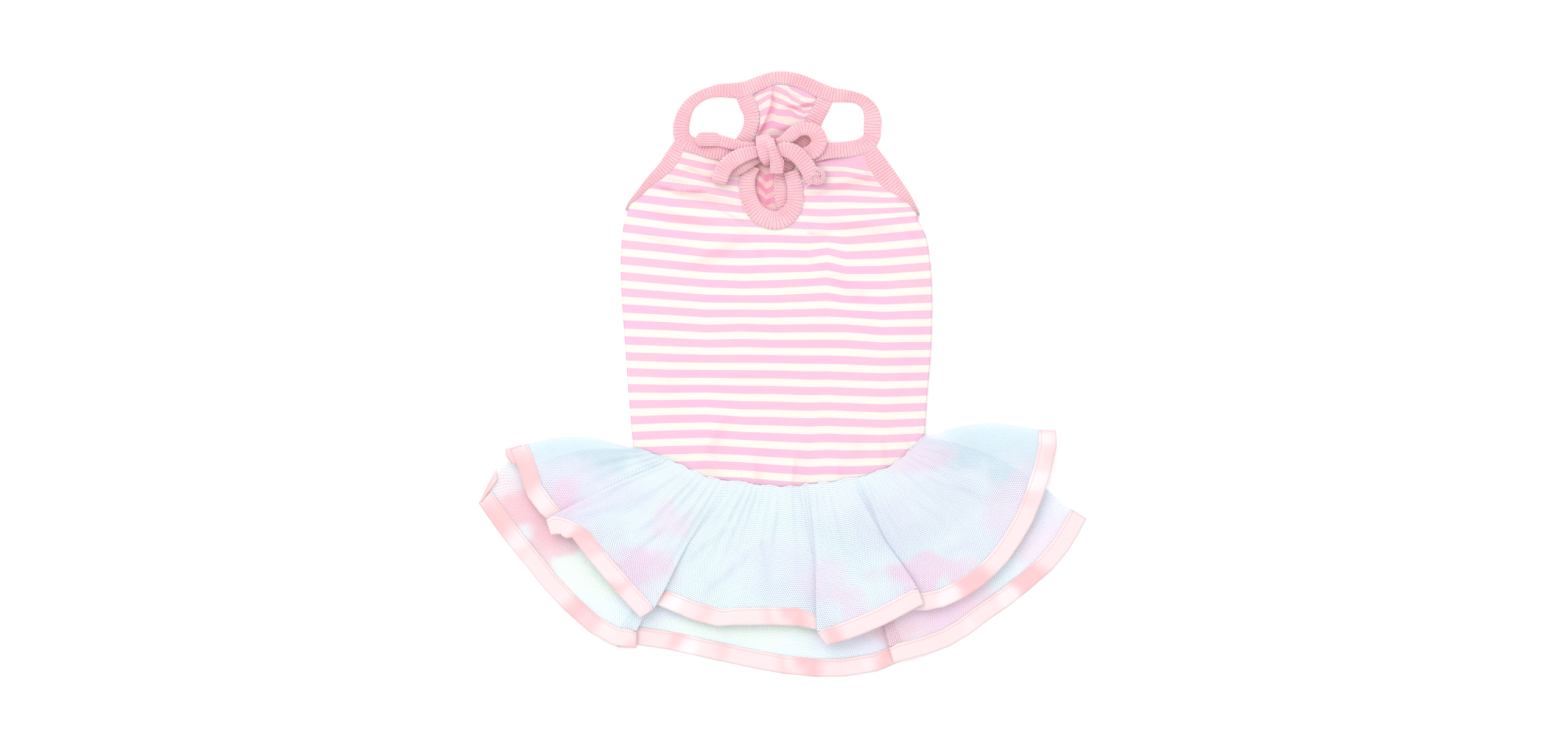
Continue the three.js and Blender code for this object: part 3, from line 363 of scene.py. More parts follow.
# The same for the inside of the chest panel: its stripes break at each fold of its neck
CHEST_PLACES = (-40, -20, -14, -10.4, -8, -6.2, -3.4, 2, 4.6, 8.4, 12, 20, 40)
CHEST_STRIPES = table(
    "band heights",
    (0, (-12, -12, -12, -12, -12, -12, -12, -12, -12, -12, -12, -12, -12)),
    (11, (96, 96, 96, 95.6, 95.8, 96, 96, 96, 96, 96, 96, 96, 96)),
    (12, (104, 107.4, 105.4, 102.8, 103.4, 104, 104, 104, 104, 104, 104, 104, 104)),
    (13, (112, 116.6, 113, 108.2, 109.8, 111.4, 112, 112, 112, 112, 112, 112, 112)),
    (14, (118, 122.6, 120, 116.8, 117.6, 118.2, 119, 120, 120, 120, 120, 120, 120)),
    (16, (130, 132.4, 134, 133.2, 133, 133, 133.4, 134, 134, 135, 136, 136, 136)),
    (17, (138, 138.4, 139.6, 140.2, 140.6, 140.4, 141, 140.4, 140.6, 142, 143, 143, 143)),
    (18, (146, 144.6, 146.4, 147.8, 149, 149, 147.8, 145.8, 145.6, 148.4, 150, 151, 151)),
    (19, (153, 153, 155.4, 157, 157.8, 158, 156.4, 156.8, 156.6, 153.6, 152.8, 154, 155)),
    (20, (160, 159.4, 162.8, 165.4, 166.4, 164.2, 163.4, 161, 160, 158, 156.4, 158, 160)),
    (21, (166, 165.6, 168.2, 169.2, 169.6, 170.8, 169.8, 167.4, 164.4, 162.6, 160.4, 160, 166)),
    (22, (173, 173, 175, 176, 177, 177.4, 177, 174.6, 171.4, 169.2, 167.4, 165, 172)),
)


# Meshes


def to_frame(points):
    points = np.asarray(points, float).reshape(-1, 3)
    return (points - (CENTRE_X, 0, 0)) * MM


def make_object(name, points, faces, uv=None, values=None, smooth_faces=True):
    """A mesh object from points in the tables' millimetres; uv is one pair for each point, in metres."""
    mesh = bpy.data.meshes.new(name)
    mesh.from_pydata(to_frame(points).tolist(), [], [tuple(int(i) for i in face) for face in faces])
    if uv is not None:
        layer = mesh.uv_layers.new(name="Cloth")
        corner = np.empty(len(mesh.loops), dtype=np.int32)
        mesh.loops.foreach_get("vertex_index", corner)
        layer.data.foreach_set("uv", np.asarray(uv, float).reshape(-1, 2)[corner].ravel())
    for key, numbers in (values or {}).items():
        layer = mesh.attributes.new(key, "FLOAT", "POINT")
        layer.data.foreach_set("value", np.asarray(numbers, float).ravel())
    mesh.polygons.foreach_set("use_smooth", [smooth_faces] * len(mesh.polygons))
    mesh.update()
    piece = bpy.data.objects.new(name, mesh)
    bpy.context.scene.collection.objects.link(piece)
    return piece


def grid_faces(rows, columns, start=0, flip=False):
    faces = []
    for i in range(rows - 1):
        for j in range(columns - 1):
            a = start + i * columns + j
            quad = (a, a + columns, a + columns + 1, a + 1)
            faces.append(quad[::-1] if flip else quad)
    return faces


def surface_normals(grid):
    down = np.gradient(grid, axis=0)
    right = np.gradient(grid, axis=1)
    normals = np.cross(down, right)
    return normals / np.maximum(np.linalg.norm(normals, axis=2, keepdims=True), 1e-9)


def open_cloth(name, grid, uv, values=None):
    rows, columns = grid.shape[:2]
    return make_object(name, grid, grid_faces(rows, columns), uv, values)


def shell(grid, uv, wall, values=None):
    """What make_object needs for a closed shell of one wall on a grid whose rows run away from the neck."""
    rows, columns = grid.shape[:2]
    normals = surface_normals(grid)
    count = rows * columns
    points = np.concatenate([grid + normals * wall / 2, grid - normals * wall / 2]).reshape(-1, 3)
    faces = grid_faces(rows, columns) + grid_faces(rows, columns, count, flip=True)
    rim = [(0, j) for j in range(columns)] + [(i, columns - 1) for i in range(1, rows)]
    rim += [(rows - 1, j) for j in range(columns - 2, -1, -1)] + [(i, 0) for i in range(rows - 2, 0, -1)]
    index = [i * columns + j for i, j in rim]
    for a, b in zip(index, index[1:] + index[:1]):
        faces.append((a, b, b + count, a + count))
    upper = {key: np.concatenate([np.ravel(v), 0 * np.ravel(v)]) for key, v in (values or {}).items()}
    return points, faces, np.concatenate([uv, uv]), upper


def thick_cloth(name, *shells):
    """One piece of cloth from the shells it is made of."""
    points, faces, uv, values = shells[0]
    for more_points, more_faces, more_uv, more_values in shells[1:]:
        faces = faces + [tuple(len(points) + i for i in face) for face in more_faces]
        points = np.concatenate([points, more_points])
        uv = np.concatenate([uv, more_uv])
        values = {key: np.concatenate([values[key], more_values[key]]) for key in values}
    return make_object(name, points, faces, uv, values)


def tuck(edge, inner, far):
    """Runs a grid's edge on into what binds it."""
    way = edge - inner
    edge += way / np.linalg.norm(way, axis=-1, keepdims=True) * np.reshape(far, (-1, 1))


def spanned(top, bottom, left, right, across, down):
    """The surface that four lines span, as rows of points from the top line to the bottom one."""
    u = np.linspace(0, 1, across + 1)
    v = np.linspace(0, 1, down + 1)
    t, b, l, r = (line.share(share) for line, share in ((top, u), (bottom, u), (left, v), (right, v)))
    u, v = u[None, :, None], v[:, None, None]
    sides = mix(l[:, None], r[:, None], u)
    ends = mix(t[None], b[None], v)
    corners = mix(mix(t[0], b[0], v), mix(t[-1], b[-1], v), u)
    return sides + ends - corners


def crease_height(rows, x, y):
    """Height of soft creases at a place: each row is one crease from (x, y) to (x2, y2)."""
    height = np.zeros_like(x)
    for row in rows:
        dx, dy = row.x2 - row.x, row.y2 - row.y
        t = np.clip(((x - row.x) * dx + (y - row.y) * dy) / (dx * dx + dy * dy), 0, 1)
        away = np.hypot(x - row.x - t * dx, y - row.y - t * dy) / row.wide
        height += row.rise * np.exp(-away * away) * np.sin(math.pi * mix(0.12, 0.88, t))
    return height


# Looks


class Wire:
    """A value in a material: Python's operators on it add the Math nodes that work it out."""

    def __init__(self, look, socket):
        self.look = look
        self.socket = socket

    def maths(self, operation, *values):
        vector = any(isinstance(v, Wire) and v.socket.type == "VECTOR" for v in values)
        kind = "ShaderNodeVectorMath" if vector else "ShaderNodeMath"
        return self.look.node(kind, {"operation": operation}, dict(enumerate(values)))

    def __add__(self, other):
        return self.maths("ADD", self, other)

    def __sub__(self, other):
        return self.maths("SUBTRACT", self, other)

    def __rsub__(self, other):
        return self.maths("SUBTRACT", other, self)

    def __mul__(self, other):
        return self.maths("MULTIPLY", self, other)

    def __truediv__(self, other):
        return self.maths("DIVIDE", self, other)

    def __pow__(self, other):
        return self.maths("POWER", self, other)

    __radd__ = __add__
    __rmul__ = __mul__


class Look:
    """A material that is built up from nodes and ends in one Principled shader."""

    def __init__(self, name, dress=None):
        self.dress = dress
        self.material = bpy.data.materials.new(name)
        self.material.use_nodes = True
        self.tree = self.material.node_tree
        self.tree.nodes.clear()

    def node(self, kind, settings=None, inputs=None, output=0):
        node = self.tree.nodes.new(kind)
        for key, value in (settings or {}).items():
            setattr(node, key, value)
        for key, value in (inputs or {}).items():
            socket = node.inputs[key]
            if isinstance(value, Wire):
                self.tree.links.new(value.socket, socket)
            elif socket.type == "VECTOR" and isinstance(value, (int, float)):
                socket.default_value = (value, value, value)
            elif socket.type == "RGBA" and len(value) == 3:
                socket.default_value = (*value, 1.0)
            else:
                socket.default_value = value
        return Wire(self, node.outputs[output]) if node.outputs else None

    def cloth(self):
        """The cloth's own coordinates: metres along it and across it."""
        return self.node("ShaderNodeUVMap", {"uv_map": "Cloth"})

    def place(self):
        return self.node("ShaderNodeTexCoord", output="Object")

    def value(self, name):
        return self.node("ShaderNodeAttribute", {"attribute_name": name}, output="Fac")

    def split(self, vector):
        node = self.node("ShaderNodeSeparateXYZ", inputs={0: vector}).socket.node
        return [Wire(self, node.outputs[k]) for k in range(3)]

    def joined(self, x, y, z=0.0):
        return self.node("ShaderNodeCombineXYZ", inputs={0: x, 1: y, 2: z})

    def colour(self, tone):
        """A colour as it is, or by its name among the dress's colours."""
        return tuple(getattr(self.dress, tone)) if isinstance(tone, str) else tone

    def mixed(self, share, a, b, blend="MIX"):
        settings = {"data_type": "RGBA", "blend_type": blend}
        inputs = {0: share, 6: self.colour(a), 7: self.colour(b)}
        return self.node("ShaderNodeMix", settings, inputs, output=2)

    def tinted(self, share, tone, tint):
        """A tone with a share of a tint laid over it, as shade does."""
        return self.mixed(share, tone, tint, "MULTIPLY")

    def ramp(self, value, low, high, to_low=0.0, to_high=1.0):
        inputs = {0: value, 1: low, 2: high, 3: to_low, 4: to_high}
        return self.node("ShaderNodeMapRange", {"interpolation_type": "SMOOTHSTEP"}, inputs)

    def noise(self, where, scale, detail=2.0, roughness=0.5):
        inputs = {"Vector": where, "Scale": scale, "Detail": detail, "Roughness": roughness}
        return self.node("ShaderNodeTexNoise", inputs=inputs)

    def fraction(self, value):
        return value.maths("FRACT", value)

    def away(self, value, middle):
        """How far a value is from a middle."""
        return value.maths("ABSOLUTE", value - middle)

    def ridges(self, value):
        """1 at each whole number and 0 halfway between two of them."""
        return self.away(self.fraction(value), 0.5) * 2.0

    def bump(self, height, depth):
        return self.node("ShaderNodeBump", inputs={"Height": height, "Distance": depth, "Strength": 1.0})

    def finish(self, colour, **sockets):
        shader = self.node("ShaderNodeBsdfPrincipled", inputs={"Base Color": colour, **sockets})
        self.node("ShaderNodeOutputMaterial", inputs={"Surface": shader})
        return self.material


def rib_look(dress):
    """1x1 rib knit: ribs across the strip, with a fine dashed groove between two of them, darkened with
    painted shade.
    """
    look = Look("RibKnit", dress)
    along, across, _ = look.split(look.cloth())
    pitch = dress.rib_pitch
    loop = 0.34 * pitch
    groove = look.ramp(look.ridges(along / pitch), 0.76, 0.97)
    loops = look.ridges(across / loop)
    # painted shade: the grooves between the ribs are darker, dashed by the knit's loops
    dashed = groove * look.ramp(loops, 0.2, 0.8, 1.0, 0.3)
    cloudy = look.noise(look.place(), 70.0, 3.0)
    light = look.mixed(look.ramp(cloudy, 0.35, 0.7), "rib", "rib_light")
    tone = look.mixed(dashed, light, "rib_groove_shade")
    knit = look.ramp(loops, 0.0, 1.0) * (1.0 - groove)
    normal = look.bump(knit, 0.12 * MM)
    sheen = {"Sheen Weight": 0.25, "Sheen Roughness": 0.5}
    glow = {"Subsurface Weight": 0.3, "Subsurface Scale": 0.002}
    return look.finish(tone, Roughness=0.9, Normal=normal, **sheen, **glow)


def jersey_look(dress):
    """Fine jersey: the cloth's second coordinate counts its stripes, one pink band in each."""
    look = Look("StripedJersey", dress)
    across, stripes, _ = look.split(look.cloth())
    place = look.place()
    wale = 0.55 * MM
    courses_to_a_stripe = 18.0
    wobble = (look.noise(look.joined(across, stripes * 0.3), 900.0, 1.0) - 0.5) * 0.035
    band = look.away(look.fraction(stripes + wobble + 0.5), 0.5)
    pink = look.ramp(band, 0.278, 0.25)
    flecks = look.ramp(look.noise(place, 1500.0, 2.0), 0.35, 0.65)
    patches = look.ramp(look.noise(place, 28.0, 2.0), 0.4, 0.62)
    knit = look.ridges(across / wale) * 0.6 + look.ridges(stripes * courses_to_a_stripe) * 0.4
    cream = look.mixed(flecks, "cream", "cream_light")
    rose = look.mixed(patches, "stripe", "stripe_warm")
    # painted shade: the stripes darken a little between the knit's loops
    tone = look.mixed(knit * 0.1, look.mixed(pink, cream, rose), "stripe_loop_shade")
    shaded = look.tinted(look.value("Shade"), tone, "jersey_shade")
    normal = look.bump(knit, 0.06 * MM)
    sheen = {"Sheen Weight": 0.2, "Sheen Roughness": 0.5}
    return look.finish(shaded, Roughness=0.85, Normal=normal, **sheen)


def net_holes(look, along, down):
    """Round holes in a staggered lattice: two plain lattices, the second half a step on in both ways."""
    pitch = look.dress.net_pitch
    rows = pitch * math.sqrt(3)
    lattices = []
    for shift in (0.0, 0.5):
        x = (look.fraction(along / pitch + shift) - 0.5) * pitch
        y = (look.fraction(down / rows + shift) - 0.5) * rows
        lattices.append(look.ramp((x * x + y * y) ** 0.5 / pitch, 0.43, 0.27))
    return lattices[0].maths("MAXIMUM", *lattices)


def net_look(dress, name, spots, dim):
    """Tulle: see-through holes with painted shade in them, and soft tints at given places. dim is the least
    painted shade in its holes.
    """
    look = Look(name, dress)
    along, down, _ = look.split(look.cloth())
    holes = net_holes(look, along, down)
    place = look.place()
    tone = look.mixed(look.ramp(look.noise(place, 16.0, 2.0), 0.42, 0.62), "net", "net_lilac")
    # painted shade: the net darker where a gather turns away
    tone = look.mixed(look.value("Fold") * 0.55, tone, "net_fold")
    x, y, _ = look.split(place)
    x = x + (look.noise(place, 45.0, 2.0) - 0.5) * 0.05
    y = y + (look.noise(place, 38.0, 2.0) - 0.5) * 0.04
    for spot in spots:
        across = (x - (spot.x - CENTRE_X) * MM) / (spot.wide * MM)
        up = (y - spot.y * MM) / (spot.tall * MM)
        near = look.ramp(across * across + up * up, 1.3, 0.1)
        tone = look.mixed(near * spot.strength, tone, spot.colour)
    clear = look.ramp(look.noise(place, 26.0, 2.0), 0.47, 0.68)
    crowded = look.ramp(down, 3 * MM, 30 * MM, 0.3, 1.0)
    # painted shade: the holes darken towards the shaded layers under the net
    seen = look.tinted(holes * (dim + clear * (0.9 - dim)) * crowded, tone, "net_hole")
    alpha = 0.9 - holes * 0.38
    normal = look.bump(1.0 - holes, 0.04 * MM)
    return look.finish(seen, Roughness=0.6, Alpha=alpha, Normal=normal, **{"Sheen Weight": 0.15})


def ribbon_look(dress):
    """Satin ribbon: painted highlights and painted shade in patches along it, fine cross lines and a stitched
    inner edge.
    """
    look = Look("SatinRibbon", dress)
    along, across, _ = look.split(look.cloth())
    width = dress.ribbon_width
    stitch, thread = 2.2 * MM, 0.5 * MM
    # painted shade and painted highlights: patches where the satin turns from the light or catches it
    patches = look.noise(look.joined(along, across * 0.35), 26.0, 1.5)
    tone = look.mixed(look.ramp(patches, 0.38, 0.52), "ribbon_deep", "ribbon")
    # painted glints along the satin
    glow = look.ramp(look.noise(look.joined(along, across * 0.6), 47.0, 1.0), 0.52, 0.72)
    tone = look.mixed(glow * 0.8, tone, "ribbon_light")
    seam = look.ramp(look.away(across, 0.16 * width), 0.35 * MM, 0.1 * MM)
    dashes = look.ramp(look.away(look.fraction(along / stitch), 0.5), 0.12, 0.22, 0.35, 1.0)
    tone = look.mixed(seam * dashes * 0.8, tone, "ribbon_seam")
    # painted highlight along both edges of the ribbon
    edge = look.ramp(look.away(across, 0.5 * width), 0.455 * width, 0.5 * width)
    tone = look.mixed(edge * 0.5, tone, "ribbon_light")
    normal = look.bump(look.ridges(along / thread) * 0.15 - seam, 0.12 * MM)
    rough = look.ramp(patches, 0.4, 0.65, 0.42, 0.28)
    return look.finish(tone, Roughness=rough, Normal=normal, **{"Sheen Weight": 0.3, "Anisotropic": 0.4})


def thread_look(dress):
    look = Look("Thread", dress)
    strand = 0.3 * MM
    twist = look.away(look.fraction(look.split(look.place())[0] / strand), 0.5)
    return look.finish(look.mixed(twist, "thread", "rib_light"), Roughness=0.7)


LOOKS = {
    "RibKnit": rib_look,
    "StripedJersey": jersey_look,
    "SatinRibbon": ribbon_look,
    "Thread": thread_look,
}


def look_named(name, dress):
    """One of the looks that many pieces share, made on its first use."""
    return bpy.data.materials.get(name) or LOOKS[name](dress)


def dressed(piece, material, slot, *nodes):
    """Gives a piece its material, lets it ride, and has it stand for its solids."""
    piece.data.materials.append(material)
    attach(piece, "root")
    if nodes:
        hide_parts(*nodes)
    return piece


# Rib strips


class Strip:
    """A rib-knit strip along a line that gives the middle of its under face, ribs across its outer face."""

    WALL, RISE, WIDTH = 1.7, 0.28, 9.0
    EDGE_SWELL = 0.12  # how far a rib stands out at the strip's edges
    THIN_UNDER = 1.7  # the half width under which a strip is also thinner
    LEAST_CUT = 0.01  # the narrowest cut that is stated, in metres
    RIB_STEPS = (0.0, 0.1, 0.28, 0.5, 0.72, 0.9)
    # across and up, as shares of the half width and the wall: over the strip from one edge to the other
    PROFILE = (
        (-1.0, 0.0), (-1.05, 0.34), (-1.0, 0.68), (-0.88, 0.9), (-0.6, 0.99), (-0.25, 1.0),
        (0.25, 1.0), (0.6, 0.99), (0.88, 0.9), (1.0, 0.68), (1.05, 0.34), (1.0, 0.0),
    )

    def __init__(self, rows, wall=WALL, width=WIDTH, ribbed=True, pitch=1.8):
        self.line = Line(rows)
        self.wall = wall
        self.rise = self.RISE if ribbed else 0.0
        ribs = max(2, round(self.line.length / pitch))
        self.pitch = self.line.length / ribs
        steps = [(k + step) * self.pitch for k in range(ribs) for step in self.RIB_STEPS]
        self.far = np.array(steps + [self.line.length])
        self.height = 1 - np.abs(2 * ((self.far / self.pitch) % 1.0) - 1) ** 3
        self.height[-1] = 0
        self.middle = self.line.at(self.far)
        self.half = self.line.value(self.far, "width", width) / 2
        self.thin = np.minimum(1, self.half / self.THIN_UNDER)
        self.frames()

    def frames(self):
        ahead = self.line.along(self.far)
        self.across = np.zeros_like(ahead)
        before = None
        for k, way in enumerate(ahead):
            level = np.array((-way[1], way[0], 0.0))
            turning = before is not None and np.linalg.norm(level) < 0.5
            side = before - way * before.dot(way) if turning else level
            side = side / np.linalg.norm(side)
            if before is not None and not turning and side.dot(before) < 0:
                side = -side
            self.across[k] = before = side
        self.out = np.cross(ahead, self.across)
        self.out /= np.linalg.norm(self.out, axis=1, keepdims=True)

    def mesh(self, name):
        points, uv = [], []
        girth = 0.0
        last = None
        for share, up in self.PROFILE:
            if last:
                girth += math.hypot((share - last[0]) * self.half.mean(), (up - last[1]) * self.wall)
            last = (share, up)
            lifted = (up * self.wall + self.rise * self.height * smooth(up * 1.4)) * self.thin
            swell = self.EDGE_SWELL * self.height * self.rise / self.RISE if abs(share) > 0.85 else 0
            wide = share * (self.half + swell)
            points.append(self.middle + self.across * wide[:, None] + self.out * lifted[:, None])
            over = np.full_like(self.far, girth * MM)
            uv.append(np.stack([self.far * MM * self.uv_scale(), over], axis=1))
        ring, count = len(self.PROFILE), len(self.far)
        faces = []
        for c in range(ring - 1):
            for k in range(count - 1):
                a = c * count + k
                faces.append((a, a + 1, a + count + 1, a + count))
        for k in range(count - 1):
            a, b = k, (ring - 1) * count + k
            faces.append((a + 1, a, b, b + 1))
        faces.append([c * count for c in range(ring)])
        faces.append([c * count + count - 1 for c in reversed(range(ring))])
        return make_object(name, np.concatenate(points), faces, np.concatenate(uv))

    def cut(self):
        """Its cut's width and length in metres."""
        return max(float(self.half.mean() * 2) * MM, self.LEAST_CUT), self.line.length * MM

    def uv_scale(self):
        """Makes the shader's ribs fall on the strip's own ones."""
        return bpy.context.scene.dress.rib_pitch / (self.pitch * MM)

    def places(self, far, share, up):
        """Points on the strip, with the way along it and out of it there."""
        middle, across, out = (
            np.stack([np.interp(far, self.far, way[:, k]) for k in range(3)], axis=-1)
            for way in (self.middle, self.across, self.out)
        )
        half = np.interp(far, self.far, self.half)[:, None]
        return middle + across * half * share + out * up, self.line.along(far), out


# A bead of thread: its half length, its radius in the middle and at its tips, and how it lies on the strip
BEAD = SimpleNamespace(rings=3, sides=6, half=0.62, radius=0.3, tip=0.17, flat=0.9, lift=0.12)
# Its two rows: how far along a row starts, in stitches, and how far to the side it lies
STITCH_ROWS = ((0.0, -0.4), (0.5, 0.35))
STITCH_ENDS = (0.9, 0.6)  # how far inside a run its first and its last bead stay
NECK_STITCH, BOW_STITCH = 0.82, 0.84  # where the stitch runs, as a share of the strip's half width


def chain_stitch(name, dress, *runs):
    """Chain stitch: beads of thread in two staggered rows.

    A run is a strip, the stitch's place across it, and the shares of its length where the stitch starts
    and ends.
    """
    points, faces = [], []
    pitch = dress.stitch_pitch / MM
    for strip, share, start, end in runs:
        length = strip.line.length
        far = np.arange(start * length + STITCH_ENDS[0], end * length - STITCH_ENDS[1], pitch)
        for shift, aside in STITCH_ROWS:
            middle, along, out = strip.places(far + shift * pitch, share, strip.wall + strip.rise * 0.4)
            across = np.cross(out, along)
            for bead in zip(middle - across * aside, along, out, across):
                faces += bead_faces(len(points))
                points += bead_points(*bead)
    piece = make_object(name, np.array(points), faces)
    return dressed(piece, look_named("Thread", dress), "rib")


def bead_points(middle, along, out, across):
    points = []
    for ring in range(BEAD.rings):
        centre = middle + along * (ring - 1) * BEAD.half
        radius = BEAD.radius if ring == 1 else BEAD.tip
        for side in range(BEAD.sides):
            turn = 2 * math.pi * side / BEAD.sides
            up = radius * BEAD.flat * math.sin(turn) + BEAD.lift
            points.append(centre + across * radius * math.cos(turn) + out * up)
    return points


def bead_faces(first):
    sides = BEAD.sides
    faces = []
    for ring in range(BEAD.rings - 1):
        for side in range(sides):
            p = first + ring * sides + side
            q = first + ring * sides + (side + 1) % sides
            faces.append((p, q, q + sides, p + sides))
    faces.append([first + side for side in reversed(range(sides))])
    faces.append([first + (BEAD.rings - 1) * sides + side for side in range(sides)])
    return faces


def rib_piece(name, dress, strip, *nodes):
    return dressed(strip.mesh(name), look_named("RibKnit", dress), "rib", *nodes)


def strip_piece(name, dress, node, strip, stitch=()):
    """One rib strip, with its chain stitch along an edge, and its cut."""
    piece = rib_piece(name, dress, strip, node)
    threads = [chain_stitch(name + "Stitch", dress, *stitch)] if stitch else []
    strip.cut()


# Panels

JERSEY = 0.8  # a panel's wall
BACK_ALONE, BACK_OVER_CHEST = 1.3, 2.3  # middle of the back panel's wall by itself and over the chest panel
SIDE_DROP = 0.5  # how much lower it is at its sides and its waist
CHEST_NECK_Z, CHEST_BODY_Z = 0.5, 0.42  # middle of the chest panel's wall
NECK_TUCK, LEG_TUCK = 1.2, 1.0  # how far a panel's edge runs on into the strip that binds it
BOUND_ABOVE = {0: 98, -1: 93}  # where the back's leg edges end, on the first and last column of its grid
NECK_AXIS = -10  # middle of the chest panel's neck under the back
# The chest panel's leg edges under the back: a curve on the left and a level on the right
SHOULDER = {"left": -95, "rise": 24, "over": 55, "low": 100, "right": 104}
# The slopes between the back's heights: beside the chest panel's neck, above its leg edges, at the back's
# sides and at its waist. Each has where it starts, in y or as a distance from a middle, and how wide it is
NECK_SLOPE = {"start": 24, "wide": 14}
LEG_SLOPE = {"above": 6, "wide": 9}
SIDE_SLOPE = {"middle": -4.4, "start": 82, "wide": 9}
WAIST_SLOPE = {"start": -38, "wide": 14}
# Small waves that the gathers pull into the back above the waist
RIPPLE = SimpleNamespace(height=0.12, wave=4.1, wander=0.8, over=13, start=-40, fade=20)
# painted shade: the back is a little pinker towards its neck, where the strips shade it
TOP_SHADE = {"most": 0.16, "start": 92, "wide": 30}  # the back is a little pinker towards its neck
# A crease's shade: how strong it is for the slope, how much comes from the left, and the most of it
CREASE_LIGHT = {"strength": 1.6, "from_left": 0.7, "most": 0.55}
# The keyhole's cut is drawn at its binding's outer edge, and is made this much smaller about its middle
KEYHOLE_SHRINK = SimpleNamespace(aside=2.5, across=0.91, y=112, down=0.94)
# Shade on what the keyhole shows of the chest panel
KEYHOLE_SHADE = SimpleNamespace(x=-8, wide=15, y=78, fade=8, strength=0.7)
SMALL_CREASES = table(
    "x y x2 y2 rise wide",
    (-76.5, 113.6, -60, 109.4, 0.8, 1.5),
    (-64, 109.4, -45.6, 110.6, 0.9, 1.5),
    (-70, 117.6, -50, 114.4, 0.5, 1.6),
    (-58, 124.6, -46, 121.6, 0.6, 1.5),
    (-52, 121, -40, 118.4, 0.5, 1.4),
    (-37.4, 99.4, -24.8, 92.2, 0.8, 1.5),
    (-34, 92, -22, 85, 0.6, 1.6),
    (-22, 84, -14, 72, 0.5, 2),
    (10.6, 91.6, 16, 84.2, 0.8, 1.4),
    (14, 85.4, 25, 84.6, 0.6, 1.5),
    (13.4, 109.6, 25, 109, 0.5, 1.4),
    (17.6, 126.4, 34, 122, 0.9, 1.4),
    (22, 122.6, 36, 118, 0.7, 1.6),
    (32, 123.6, 55, 114.6, 0.8, 1.5),
    (40, 127, 50, 119, 0.6, 1.4),
    (60, 109.2, 71, 103, 0.6, 1.4),
    (13, 103, 40, 99.6, 0.5, 2),
    (-86, 86, -64, 80, 0.4, 3),
    (62, 98, 80, 76, 0.5, 3),
    (-60, -40, -46, -58, 0.5, 2.4),
    (-46, -50, -36, -62, 0.5, 1.8),
    (-20, -48, -16, -66, 0.5, 2),
    (6, -46, 4, -66, 0.5, 2),
    (30, -52, 34, -64, 0.4, 1.6),
    (56, -36, 60, -56, 0.5, 2.4),
    (68, -34, 74, -46, 0.5, 1.8),
    (-74, 20, -70, -20, 0.3, 7),
    (70, 30, 66, -14, 0.3, 7),
)


def back_height(x, y):
    """The back panel's height: higher over the chest panel, and falling to its sides and its waist."""
    over_neck = 1 - smooth((np.abs(x - NECK_AXIS) - NECK_SLOPE["start"]) / NECK_SLOPE["wide"])
    risen = SHOULDER["low"] + SHOULDER["rise"] * ((x - SHOULDER["left"]) / SHOULDER["over"]) ** 2
    edge = np.where(x < NECK_AXIS, risen, SHOULDER["right"])
    cover = np.maximum(smooth((edge + LEG_SLOPE["above"] - y) / LEG_SLOPE["wide"]), over_neck)
    side = smooth((np.abs(x - SIDE_SLOPE["middle"]) - SIDE_SLOPE["start"]) / SIDE_SLOPE["wide"])
    seam = smooth((WAIST_SLOPE["start"] - y) / WAIST_SLOPE["wide"])
    return mix(BACK_ALONE, BACK_OVER_CHEST, cover) - SIDE_DROP * np.maximum(side * cover, seam)


def stripe_count(rows, places, x, y):
    """How many bands up a place is, from the heights that a table gives for some of them."""
    bands = np.array([row.band for row in rows], float)
    flat_x, flat_y = np.ravel(x), np.ravel(y)
    heights = table_value(rows, places, flat_x)
    counts = np.empty(len(flat_y))
    for k, (column, at) in enumerate(zip(heights.T, flat_y)):
        counts[k] = np.interp(at, column, bands)
        if at < column[0]:
            counts[k] = bands[0] + (at - column[0]) / (column[1] - column[0]) * (bands[1] - bands[0])
    return counts


def striped_uv(rows, places, grid):
    x, y = grid[..., 0], grid[..., 1]
    return np.stack([np.ravel(x) * MM, stripe_count(rows, places, x, y)], axis=1)


def cut_away(piece, outline, low, high):
    """Cuts the keyhole through a cloth, with a smooth outline."""
    rim = Line(outline + outline[:1]).share(np.linspace(0, 1, 160, endpoint=False))
    less = KEYHOLE_SHRINK
    rim[:, 0] = NECK_AXIS + less.aside + (rim[:, 0] - NECK_AXIS - less.aside) * less.across
    rim[:, 1] = np.where(rim[:, 1] < less.y, less.y + (rim[:, 1] - less.y) * less.down, rim[:, 1])
    count = len(rim)
    points = [(x, y, z) for z in (low, high) for x, y, _ in rim]
    faces = [tuple(reversed(range(count))), tuple(range(count, 2 * count))]
    faces += [(k, (k + 1) % count, (k + 1) % count + count, k + count) for k in range(count)]
    cutter = make_object("Cutter", points, faces, smooth_faces=False)
    modifier = piece.modifiers.new("Cut", "BOOLEAN")
    modifier.operation = "DIFFERENCE"
    modifier.solver = "EXACT"
    modifier.object = cutter
    apply_modifiers(piece)
    mesh = cutter.data
    bpy.data.objects.remove(cutter)
    bpy.data.meshes.remove(mesh)


def apply_modifiers(piece):
    graph = bpy.context.evaluated_depsgraph_get()
    result = piece.evaluated_get(graph)
    mesh = bpy.data.meshes.new_from_object(result, preserve_all_data_layers=True, depsgraph=graph)
    old = piece.data
    piece.modifiers.clear()
    piece.data = mesh
    mesh.name = piece.name
    bpy.data.meshes.remove(old)


